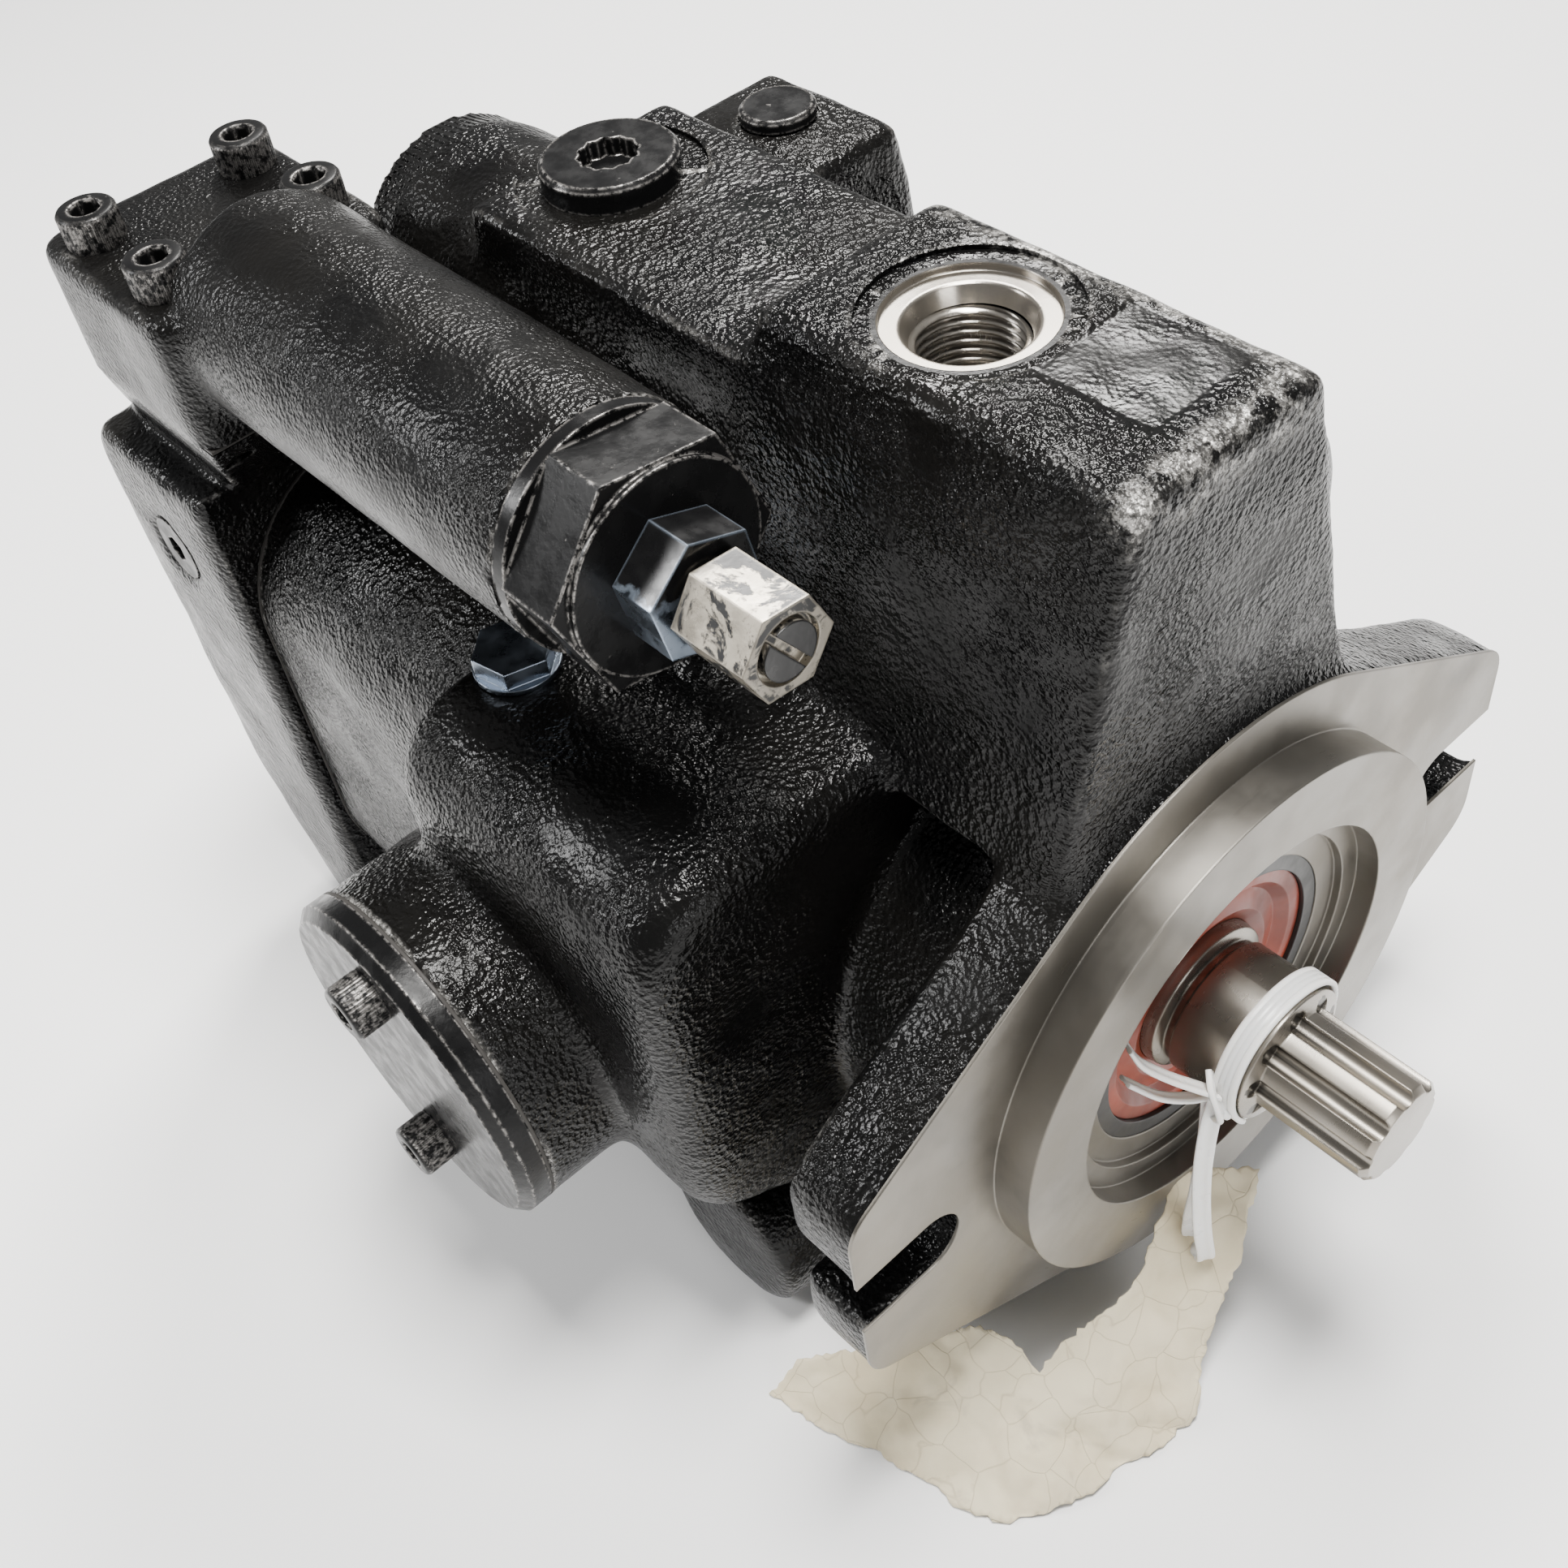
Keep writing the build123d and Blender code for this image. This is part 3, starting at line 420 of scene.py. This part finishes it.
def area(name, at, look, size, power, tall=None, color=(1, 1, 1)):
    light = bpy.data.lights.new(name, "AREA")
    light.energy = power
    light.color = color
    light.shape = "RECTANGLE"
    light.size = size
    light.size_y = tall or size
    obj = bpy.data.objects.new(name, light)
    SCENE.collection.objects.link(obj)
    obj.location = at
    obj.rotation_euler = (Vector(look) - Vector(at)).to_track_quat("-Z", "Y").to_euler()
    return obj


TARGET = (-0.06, 0, 0.03)
area("over", (0.0, 0.02, 0.8), TARGET, 0.28, 15, 0.22, (1.0, 0.985, 0.96))
area("back", (-0.40, 0.36, 0.62), TARGET, 0.2, 9, 0.16, (1.0, 0.98, 0.95))
area("left", (-0.62, -0.62, 0.5), TARGET, 0.2, 6, 0.3)
area("front", (0.75, -0.15, 0.3), TARGET, 0.35, 2.5, 0.3)

# ---- mesh helpers -----------------------------------------------------------------------
def new_object(name, mesh, mat=None, body="housing", smooth=30.0):
    obj = bpy.data.objects.new(name, mesh)
    SCENE.collection.objects.link(obj)
    if mat is not None:
        paint(obj, mat)
    if smooth:
        shade(obj, smooth)
    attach(obj, body)
    return obj


def shade(obj, degrees):
    mesh = obj.data
    mesh.polygons.foreach_set("use_smooth", np.ones(len(mesh.polygons), bool))
    bm = bmesh.new()
    bm.from_mesh(mesh)
    limit = math.radians(degrees)
    for edge in bm.edges:
        if len(edge.link_faces) == 2 and edge.calc_face_angle(0.0) > limit:
            edge.smooth = False
    bm.to_mesh(mesh)
    bm.free()
    mesh.update()


def mesh_from(name, verts, faces):
    mesh = bpy.data.meshes.new(name)
    mesh.from_pydata([tuple(v) for v in verts], [], faces)
    mesh.update()
    return mesh


def lathe(name, profile, origin, axis="X", steps=128):
    """Turned surface from (radius, height) pairs round a row axis through a point, all in mm."""
    rows = len(profile)
    verts, faces = [], []
    for i in range(steps):
        a = 2 * math.pi * i / steps
        for r, h in profile:
            c, s = r * math.cos(a), r * math.sin(a)
            p = {"X": (h, c, s), "Y": (s, h, c), "Z": (c, s, h)}[axis]
            verts.append([(p[k] + origin[k]) * MM for k in range(3)])
    for i in range(steps):
        n = (i + 1) % steps
        for j in range(rows - 1):
            faces.append((i * rows + j, n * rows + j, n * rows + j + 1, i * rows + j + 1))
    mesh = mesh_from(name, verts, faces)
    bm = bmesh.new()
    bm.from_mesh(mesh)
    bmesh.ops.remove_doubles(bm, verts=bm.verts, dist=1e-6)
    bmesh.ops.recalc_face_normals(bm, faces=bm.faces)
    bm.to_mesh(mesh)
    bm.free()
    return mesh


def coords(mesh):
    co = np.zeros(len(mesh.vertices) * 3, np.float32)
    mesh.vertices.foreach_get("co", co)
    return co.reshape(-1, 3).astype(np.float64)


def put_coords(mesh, co):
    mesh.vertices.foreach_set("co", co.astype(np.float32).ravel())
    mesh.update()


def evaluated(obj):
    dg = bpy.context.evaluated_depsgraph_get()
    return bpy.data.meshes.new_from_object(obj.evaluated_get(dg))


def relax(mesh, weight, rounds, factor=0.5):
    """Laplacian smoothing, per vertex weight."""
    co = coords(mesh)
    n = len(co)
    edges = np.zeros(len(mesh.edges) * 2, np.int64)
    mesh.edges.foreach_get("vertices", edges)
    a, b = edges[0::2], edges[1::2]
    degree = np.bincount(a, minlength=n) + np.bincount(b, minlength=n)
    degree = np.maximum(degree, 1)
    w = (weight * factor)[:, None]
    for _ in range(rounds):
        total = np.stack([np.bincount(a, co[b, k], n) + np.bincount(b, co[a, k], n) for k in range(3)], 1)
        co = co + w * (total / degree[:, None] - co)
    put_coords(mesh, co)
    return co


def temp_object(mesh):
    obj = bpy.data.objects.new("temp", mesh)
    SCENE.collection.objects.link(obj)
    bpy.context.view_layer.update()
    return obj


def remeshed(mesh, voxel):
    obj = temp_object(mesh)
    mod = obj.modifiers.new("remesh", "REMESH")
    mod.mode = "VOXEL"
    mod.voxel_size = voxel
    made = evaluated(obj)
    bpy.data.objects.remove(obj)
    return made


def cut(mesh, cutters):
    """Mesh with every cutter mesh taken away."""
    obj = temp_object(mesh)
    tools = []
    for cutter in cutters:
        tool = temp_object(cutter)
        tools.append(tool)
        mod = obj.modifiers.new("cut", "BOOLEAN")
        mod.operation = "DIFFERENCE"
        mod.solver = "MANIFOLD"
        mod.object = tool
    made = evaluated(obj)
    for tool in tools + [obj]:
        bpy.data.objects.remove(tool)
    return made


def sliced(mesh, x, keep_front):
    """Part of a mesh in front of, or behind, a plane across X."""
    bm = bmesh.new()
    bm.from_mesh(mesh)
    geom = bm.verts[:] + bm.edges[:] + bm.faces[:]
    bmesh.ops.bisect_plane(bm, geom=geom, dist=1e-7, plane_co=(x, 0, 0), plane_no=(1, 0, 0),
                           clear_inner=keep_front, clear_outer=not keep_front)
    bm.to_mesh(mesh)
    bm.free()
    return mesh


def drum(origin, axis, radius, low, high, steps=96):
    return lathe("drum", [(0.0001, low), (radius, low), (radius, high), (0.0001, high)], origin, axis, steps)


def step(x, low, high):
    t = np.clip((x - low) / (high - low), 0, 1)
    return t * t * (3 - 2 * t)


def lumps(co, size, depth, seed):
    """Gentle cast unevenness as an offset per vertex."""
    shift = Vector((seed * 7.31, seed * 3.17, seed * 1.93))
    out = np.empty(len(co))
    scaled = co / size
    for i in range(len(co)):
        out[i] = noise.noise(Vector(scaled[i]) + shift)
    return out * depth


def vertex_normals(mesh):
    n = np.zeros(len(mesh.vertices) * 3, np.float32)
    mesh.vertex_normals.foreach_get("vector", n)
    return n.reshape(-1, 3).astype(np.float64)


# ---- castings ---------------------------------------------------------------------------
# places on the casting, in millimetres
PORT = (-39, 0, 0)
PLUG = (-105, 0, 0)
PIVOT_X = -72
COVER_FACE, COVER_SCREW_Z = 84.2, 17.5
COMP_TOP = 86
SEAT_X, BORE_END_X = -172, -157.2
# where the machined flange face is cut from the rough casting, in metres
FLANGE_SLICE = -0.00045
VOXEL = 0.0007


def casting(node, weight_of, rounds, cutters, mat, slice_x=None, depth=0.00025, seed=1, voxel=VOXEL):
    mesh = remeshed(NODES[node].data.copy(), voxel)
    co = coords(mesh) / MM
    relax(mesh, weight_of(co), rounds)
    co = coords(mesh)
    offset = lumps(co, 0.011, depth, seed) + lumps(co, 0.0042, depth * 0.45, seed + 1)
    co = co + vertex_normals(mesh) * (offset * weight_of(co / MM))[:, None]
    co[:, 2] = np.clip(co[:, 2], BOUNDS[0][2] + 0.00002, BOUNDS[1][2] - 0.00002)
    put_coords(mesh, co)
    if cutters:
        mesh = cut(mesh, cutters)
    if slice_x is not None:
        sliced(mesh, slice_x, False)
    obj = new_object(node + "_cast", mesh, mat, smooth=42)
    return obj


def housing_weight(co):
    x, y, z = co.T
    w = np.ones(len(co))
    w *= 1 - step(x, -1.8, -0.6)                              # ground flange face and pilot
    r = np.hypot(x + 39, y)
    w *= 1 - (z > 86) * (1 - step(r, 13.4, 14.6))             # drain port seat
    r = np.hypot(x + 105, y)
    w *= 1 - (z > 80) * (1 - step(r, 13.3, 14.4))             # plug seat
    r = np.hypot(x + 72, z)
    w *= 1 - step(np.abs(y), 77.2, 78.6)                      # trunnion boss faces
    w *= 1 - (1 - step(x, -141.2, -140.0))                    # joint with the rear block
    w *= step(np.hypot(y, z), 30, 36) + (x < -12) * 1.0       # seal recess
    return np.clip(w, 0, 1)




housing_cutters = [
    drum(PORT, "Z", 13.1, 92.2, 99),
    drum(PORT, "Z", 10.5, 60, 93),
    drum(PLUG, "Z", 13.0, 86.2, 93),
    drum((-107, 31, 0), "Z", 5.9, 80.2, 90, 64),
]
casting("housing", housing_weight, 26, housing_cutters, "cast_black", slice_x=FLANGE_SLICE, seed=3)
front = sliced(NODES["housing"].data.copy(), FLANGE_SLICE, True)
front_obj = new_object("flange_face", front, "flange_steel", smooth=25)
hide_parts("housing")


def block_weight(co):
    x, y, z = co.T
    w = np.ones(len(co))
    w *= 1 - step(x, -142.9, -142.2)
    w *= 1 - (x < -150) * (1 - step(np.hypot(y - 27, z - 4), 23.2, 24.6)) * (x < -168)
    w *= 1 - (x < -150) * (1 - step(np.hypot(y + 27, z - 4), 19.2, 20.6)) * (x < -168)
    w *= 1 - step(z, 64.2, 65.2)
    return np.clip(w, 0, 1)


def body_weight(co):
    x, y, z = co.T
    w = np.ones(len(co))
    for sx, sy in SCREWS_TOP:
        w *= 1 - (z > 84) * (1 - step(np.hypot(x - sx, y - sy), 4.8, 6.0))
    w *= step(z, 66.2, 67.0)
    w *= 1 - step(x, -57.2, -56.4)
    return np.clip(w, 0, 1)


SCREWS_TOP = [(x, y) for x in (-151.5, -132.5) for y in (-53.7, -29.6)]
REAR_PORTS = [("inlet", (0, 27, 4), 22.4, 15.6), ("outlet", (0, -27, 4), 18.4, 12.4)]
block_cutters = [drum(at, "X", minor + 1.3, -182, BORE_END_X) for _, at, _, minor in REAR_PORTS]
made = casting("rear_port_block", block_weight, 20, block_cutters, "cast_black", seed=5)
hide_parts("rear_port_block")
made = casting("compensator_body", body_weight, 14, [], "comp_black", depth=0.00016, seed=7)
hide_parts("compensator_body")


# ---- port liners ------------------------------------------------------------------------
def thread(name, origin, axis, major, minor, low, high, pitch, out, steps=96):
    """Internal thread as a helical surface; out is +1 when the mouth faces the row axis's plus side."""
    rows = int((high - low) / pitch * 8) + 1
    verts, faces = [], []
    for i in range(steps + 1):
        a = 2 * math.pi * i / steps
        for j in range(rows):
            h = low + (high - low) * j / (rows - 1)
            phase = (h / pitch - out * i / steps) % 1.0
            tri = 1 - abs(2 * phase - 1)
            r = minor + (major - minor) * min(1.0, max(0.0, 1.6 * tri - 0.3))
            c, s = r * math.cos(a), r * math.sin(a)
            p = {"X": (h, c, s), "Y": (s, h, c), "Z": (c, s, h)}[axis]
            verts.append([(p[k] + origin[k]) * MM for k in range(3)])
    for i in range(steps):
        for j in range(rows - 1):
            faces.append((i * rows + j, i * rows + j + 1, (i + 1) * rows + j + 1, (i + 1) * rows + j))
    return mesh_from(name, verts, faces)


bright = turned_steel("port_bright", (0.33, 0.31, 0.28), (0.16, 0.3), 4000.0, 0.00001)
MATS["port_bright"] = bright
liner = lathe("drain_seat", [(13.25, 92.15), (10.45, 92.15)], PORT, "Z", 128)
new_object("drain_spotface", liner, "plug_black")
liner = lathe("drain_ring", [(10.5, 92.2), (10.4, 92.1), (10.4, 91.2), (8.2, 91.2), (7.9, 91.05), (7.05, 89.0)],
              PORT, "Z", 128)
new_object("drain_ring", liner, "port_bright", smooth=25)
liner = thread("drain_thread", PORT, "Z", 7.05, 6.3, 75.5, 89.0, 1.27, 1)
new_object("drain_thread", liner, "port_bright", smooth=50)
liner = lathe("drain_bottom", [(7.05, 75.5), (4.0, 73.5), (4.0, 62.0), (0.01, 61.0)], PORT, "Z", 96)
new_object("drain_bottom", liner, "flange_steel")

for port, at, seat_r, minor in REAR_PORTS:
    major = minor + 1.2
    profile = [(seat_r, SEAT_X - 0.1), (minor + 2.0, SEAT_X - 0.1), (major, SEAT_X + 1.0)]
    new_object(port + "_seat", lathe(port + "_seat", profile, at, "X", 128), "port_bright", smooth=25)
    liner = thread(port + "_thread", at, "X", major, minor, SEAT_X + 1.0, BORE_END_X, 2.12, -1)
    new_object(port + "_thread", liner, "port_bright", smooth=50)
    profile = [(minor + 1.3, BORE_END_X - 0.05), (minor - 0.2, BORE_END_X - 0.05)]
    new_object(port + "_shoulder", lathe(port + "_shoulder", profile, at, "X", 96), "flange_steel")

# ---- screws -----------------------------------------------------------------------------


def cap_head(radius, height, socket, knurls=44):
    """Verts and faces of a knurled socket-screw head standing on z = 0, in mm."""
    steps = knurls * 4
    bevel = 0.12 * radius
    rings = [(radius * 0.97, 0.0, 0), (radius, 0.3, 1), (radius, height - bevel - 0.6, 1),
             (radius, height - bevel, 0), (radius - bevel * 0.5, height - bevel * 0.25, 0),
             (radius - bevel, height, 0)]
    verts, faces = [], []
    for r, h, knurl in rings:
        for i in range(steps):
            a = 2 * math.pi * i / steps
            depth = 0.04 * radius * knurl * (1 if i % 4 in (0, 1) else 0)
            verts.append(((r - depth) * math.cos(a), (r - depth) * math.sin(a), h))
    for j in range(len(rings) - 1):
        for i in range(steps):
            n = (i + 1) % steps
            faces.append((j * steps + i, j * steps + n, (j + 1) * steps + n, (j + 1) * steps + i))
    top = (len(rings) - 1) * steps
    hexa = []
    flat = socket / 2
    for r, h in ((flat, height), (flat, height - 0.07 * radius), (flat, height - 0.55 * height)):
        start = len(verts)
        hexa.append(start)
        for i in range(steps):
            a = 2 * math.pi * i / steps
            sector = (a + math.pi / 6) % (math.pi / 3) - math.pi / 6
            edge = flat * 1.16 if h == height else r / math.cos(sector)
            verts.append((edge * math.cos(a), edge * math.sin(a), h))
    chain = [top] + hexa
    for p, q in zip(chain, chain[1:]):
        for i in range(steps):
            n = (i + 1) % steps
            faces.append((p + i, p + n, q + n, q + i))
    faces.append(tuple(chain[-1] + i for i in range(steps)))
    return verts, faces


def screws(name, places, radius, socket, nodes, seed):
    """One mesh of socket screws: places are (seat point, outward row axis) pairs."""
    rng = random.Random(seed)
    height = 2 * radius
    head_r = 1.7 * radius
    verts, faces = [], []
    for point, way in places:
        base = len(verts)
        v, f = cap_head(head_r, height, socket)
        turn = rng.uniform(0, 2 * math.pi)
        sign = 1 if way[0] == "+" else -1
        axis = Vector({"X": (sign, 0, 0), "Y": (0, sign, 0), "Z": (0, 0, sign)}[way[1]])
        rot = axis.to_track_quat("Z", "Y").to_matrix() @ Matrix.Rotation(turn, 3, "Z")
        for co in v:
            verts.append((rot @ Vector(co) + Vector(point)) * MM)
        faces += [tuple(i + base for i in face) for face in f]
    obj = new_object(name, mesh_from(name, verts, faces), "black_screw", smooth=35)
    bm = bmesh.new()
    bm.from_mesh(obj.data)
    bmesh.ops.recalc_face_normals(bm, faces=bm.faces)
    bm.to_mesh(obj.data)
    bm.free()
    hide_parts(*nodes)


screws("cover_screw_heads", [((PIVOT_X, s * COVER_FACE, z), "-Y" if s < 0 else "+Y")
                             for s in (-1, 1) for z in (-COVER_SCREW_Z, COVER_SCREW_Z)],
       2.45, 4.0, ["trunnion_cover_screws"], 2)
screws("compensator_screw_heads", [((x, y, COMP_TOP), "+Z") for x, y in SCREWS_TOP],
       2.45, 4.0, ["compensator_screws"], 3)
screws("rear_screw_heads", [((-162, sy * 45, sz * 34), "-X") for sy in (-1, 1) for sz in (-1, 1)],
       4.15, 6.0, ["rear_block_screws"], 4)


# ---- nylon tie --------------------------------------------------------------------------
def through(points, count):
    """Smooth line through points, evenly resampled."""
    pts = [Vector(p) for p in points]
    ext = [2 * pts[0] - pts[1]] + pts + [2 * pts[-1] - pts[-2]]
    dense = []
    for i in range(1, len(ext) - 2):
        p0, p1, p2, p3 = ext[i - 1:i + 3]
        for k in range(24):
            u = k / 24
            dense.append(0.5 * (2 * p1 + (p2 - p0) * u + (2 * p0 - 5 * p1 + 4 * p2 - p3) * u * u
                                + (3 * p1 - p0 - 3 * p2 + p3) * u ** 3))
    dense.append(ext[-2])
    run = [0.0]
    for a, b in zip(dense, dense[1:]):
        run.append(run[-1] + (b - a).length)
    out = []
    j = 0
    for i in range(count):
        want = run[-1] * i / (count - 1)
        while j < len(run) - 2 and run[j + 1] < want:
            j += 1
        span = max(run[j + 1] - run[j], 1e-9)
        out.append(dense[j].lerp(dense[j + 1], min(1.0, (want - run[j]) / span)))
    return out


def ribbon(line, sides, width, thick):
    """Closed strap of flat section along a line; sides point across the strap."""
    half = [(-0.5, -0.25), (-0.42, -0.5), (-0.2, -0.5), (-0.15, -0.36),
            (0.15, -0.36), (0.2, -0.5), (0.42, -0.5), (0.5, -0.25)]
    ring = half + [(-a, -b) for a, b in half]
    verts, faces = [], []
    for i, p in enumerate(line):
        ahead = line[min(i + 1, len(line) - 1)] - line[max(i - 1, 0)]
        ahead.normalize()
        side = Vector(sides[i])
        side = (side - ahead * side.dot(ahead)).normalized()
        up = ahead.cross(side)
        for a, b in ring:
            verts.append((p + side * (a * width) + up * (b * thick)) * MM)
    n = len(ring)
    for i in range(len(line) - 1):
        for j in range(n):
            k = (j + 1) % n
            faces.append((i * n + j, i * n + k, (i + 1) * n + k, (i + 1) * n + j))
    faces.append(tuple(range(n - 1, -1, -1)))
    faces.append(tuple((len(line) - 1) * n + j for j in range(n)))
    return verts, faces


def joined(parts):
    verts, faces = [], []
    for v, f in parts:
        base = len(verts)
        verts += v
        faces += [tuple(i + base for i in face) for face in f]
    return verts, faces


turns = []
for i in range(300):
    a = 2 * math.pi * 2.15 * i / 299 + 2.9
    r = 10.95 + 0.12 * math.sin(3 * a)
    turns.append(Vector((10.9 + 1.9 * i / 299 + 0.15 * math.sin(2 * a), r * math.cos(a), r * math.sin(a))))
hoop = ribbon(turns, [(1, 0, 0)] * 300, 2.7, 0.85)
loop_line = through([(11.8, -11.4, 0.2), (12.2, -13.4, -5.0), (13.0, -15.0, -14), (14.0, -15.2, -26),
                     (14.2, -13.6, -37.0), (13.0, -12.8, -39.6), (11.4, -12.7, -40.4), (10.4, -12.4, -38.6),
                     (10.6, -12.8, -30.5), (11.6, -13.4, -21), (11.4, -12.4, -10.0), (10.6, -11.3, -0.6)], 160)
tail_a_line = through([(11.2, -11.3, 0.4), (9.6, -14.0, 3.4), (7.4, -16.8, 6.4), (5.2, -19.4, 10.0),
                       (3.6, -20.4, 13.4)], 80)
tail_b_line = through([(10.6, -11.2, -0.4), (9.2, -14.4, 0.6), (7.0, -17.8, 2.6), (4.0, -21.0, 6.4)], 70)
knot_line = through([(9.6, -10.8, 3.4), (11.4, -12.4, 2.2), (12.8, -12.6, -0.6), (12.4, -11.6, -3.0),
                     (10.4, -11.4, -3.2)], 60)
hanging = ribbon(loop_line, [(0.55, 0.75, 0.2)] * 160, 2.6, 0.6)
tail_a = ribbon(tail_a_line, [(0.75, -0.5, 0.4)] * 80, 3.1, 0.6)
tail_b = ribbon(tail_b_line, [(0.7, -0.45, 0.5)] * 70, 2.9, 0.6)
knot = ribbon(knot_line, [(0.2, -0.5, 0.8)] * 60, 2.8, 0.8)
tie_mesh = mesh_from("tie_strap", *joined([hoop, hanging, tail_a, tail_b, knot]))
tie = new_object("tie_strap", tie_mesh, "tie_nylon", body="rotating_group", smooth=50)
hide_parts("cable_tie")

# ---- paper tag --------------------------------------------------------------------------
FOLD_TOP, FOLD_END = Vector((7.4, -41.4, -43.6)), Vector((15.3, -56.5, -57.5))
HANGING = [(15.3, -56.5, -57.5), (19.4, -45.4, -57.6), (23.5, -30.8, -57.6), (23.8, -25.6, -56.6),
           (20.5, -20.5, -51.2), (18.0, -14.9, -46.4), (14.6, -6.4, -40.0), (11.9, 1.4, -34.0),
           (8.2, -4.2, -31.6), (4.4, -10.0, -29.8), (8.8, -20.9, -38.2), (7.2, -38.0, -42.2),
           (7.4, -41.4, -43.6)]
LYING = [(1.7, -40.6, -41.8), (-3.3, -42.3, -41.9), (-13.0, -52.0, -47.6), (-23.1, -62.2, -53.0),
         (-23.9, -68.4, -57.6), (-20.9, -68.0, -57.6), (-7.7, -63.6, -57.6), (1.6, -60.7, -57.6),
         (8.4, -59.9, -57.7)]
HOLE = Vector((12.0, -12.6, -39.2))
along = (FOLD_END - FOLD_TOP).normalized()


def across(point):
    d = Vector(point) - FOLD_TOP
    return (d - along * d.dot(along)).normalized()


D1, D2 = across((12.0, -12.6, -39.2)), across((-18.0, -62.0, -54.5))
N1, N2 = along.cross(D1).normalized(), D2.cross(along).normalized()


def unfold(point, way):
    d = Vector(point) - FOLD_TOP
    return Vector((d.dot(along), d.dot(D1) if way > 0 else -d.dot(D2)))


def ragged(points, pitch, depth, seed):
    """Outline cut into short lengths, each corner moved a little as in torn paper."""
    rng = random.Random(seed)
    out = []
    for i, p in enumerate(points):
        q = points[(i + 1) % len(points)]
        n = max(1, int((q - p).length / pitch))
        way = (q - p).normalized()
        normal = Vector((-way.y, way.x))
        for k in range(n):
            off = 0.0 if k == 0 else rng.uniform(-depth, depth) * (1.8 if rng.random() < 0.12 else 1.0)
            out.append(p.lerp(q, k / n) + normal * off)
    return out


outline = ragged([unfold(p, 1) for p in HANGING] + [unfold(p, -1) for p in LYING], 0.8, 0.3, 11)
hole = unfold(HOLE, 1)
EYE_R, PITCH = 1.35, 0.75
angles = [k * math.pi / 10 for k in range(20)]
eyelet = [hole + Vector((EYE_R * math.cos(a), EYE_R * math.sin(a))) for a in angles]
rng = random.Random(4)
lo = Vector((min(p.x for p in outline), min(p.y for p in outline)))
hi = Vector((max(p.x for p in outline), max(p.y for p in outline)))
inner = []
for i in range(int((hi.x - lo.x) / PITCH)):
    for j in range(int((hi.y - lo.y) / PITCH)):
        shift_x, shift_y = rng.uniform(-0.1, 0.1), rng.uniform(-0.1, 0.1)
        p = Vector((lo.x + (i + 0.5 * (j % 2)) * PITCH + shift_x, lo.y + j * PITCH + shift_y))
        if (p - hole).length > 1.7:
            inner.append(p)
n_out, n_eye = len(outline), len(eyelet)
flat_points = outline + eyelet + inner
rims = [(i, (i + 1) % n_out) for i in range(n_out)]
rims += [(n_out + i, n_out + (i + 1) % n_eye) for i in range(n_eye)]
made = delaunay_2d_cdt(flat_points, rims, [list(range(n_out))], 1, 1e-5)
cut_verts = made[0]


def centre(face):
    return sum((cut_verts[i] for i in face), Vector((0, 0))) / 3


cut_faces = [f for f in made[2] if (centre(f) - hole).length > 1.3]


def crease(p, size, seed):
    return abs(noise.noise(Vector((p.x / size, p.y / size, seed))))


tag_verts = []
for p in cut_verts:
    a, u = p
    soft = math.sqrt(u * u + 1.4)
    mix = 0.5 + 0.5 * u / soft
    pos = FOLD_TOP + along * a + D1 * ((u + soft) / 2) + D2 * ((soft - u) / 2)
    normal = (N1 * mix + N2 * (1 - mix)).normalized()
    lift = 3.4 * (crease(p, 14, 1.7) - 0.16) + 1.4 * (crease(p, 6, 5.2) - 0.2)
    lift += 0.4 * (crease(p, 2.6, 9.1) - 0.2)
    calm = min(1.0, (p - hole).length / 6)
    pos += normal * lift * calm
    pos.z = max(pos.z, -57.6 + 0.15 * noise.noise(pos * 0.5))
    tag_verts.append(pos * MM)
tag_piece = new_object("paper_tag", mesh_from("paper_tag", tag_verts, cut_faces), "tag_card", smooth=60)
skin = tag_piece.modifiers.new("card", "SOLIDIFY")
skin.thickness = 0.00018
skin.offset = 0
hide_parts("tag")
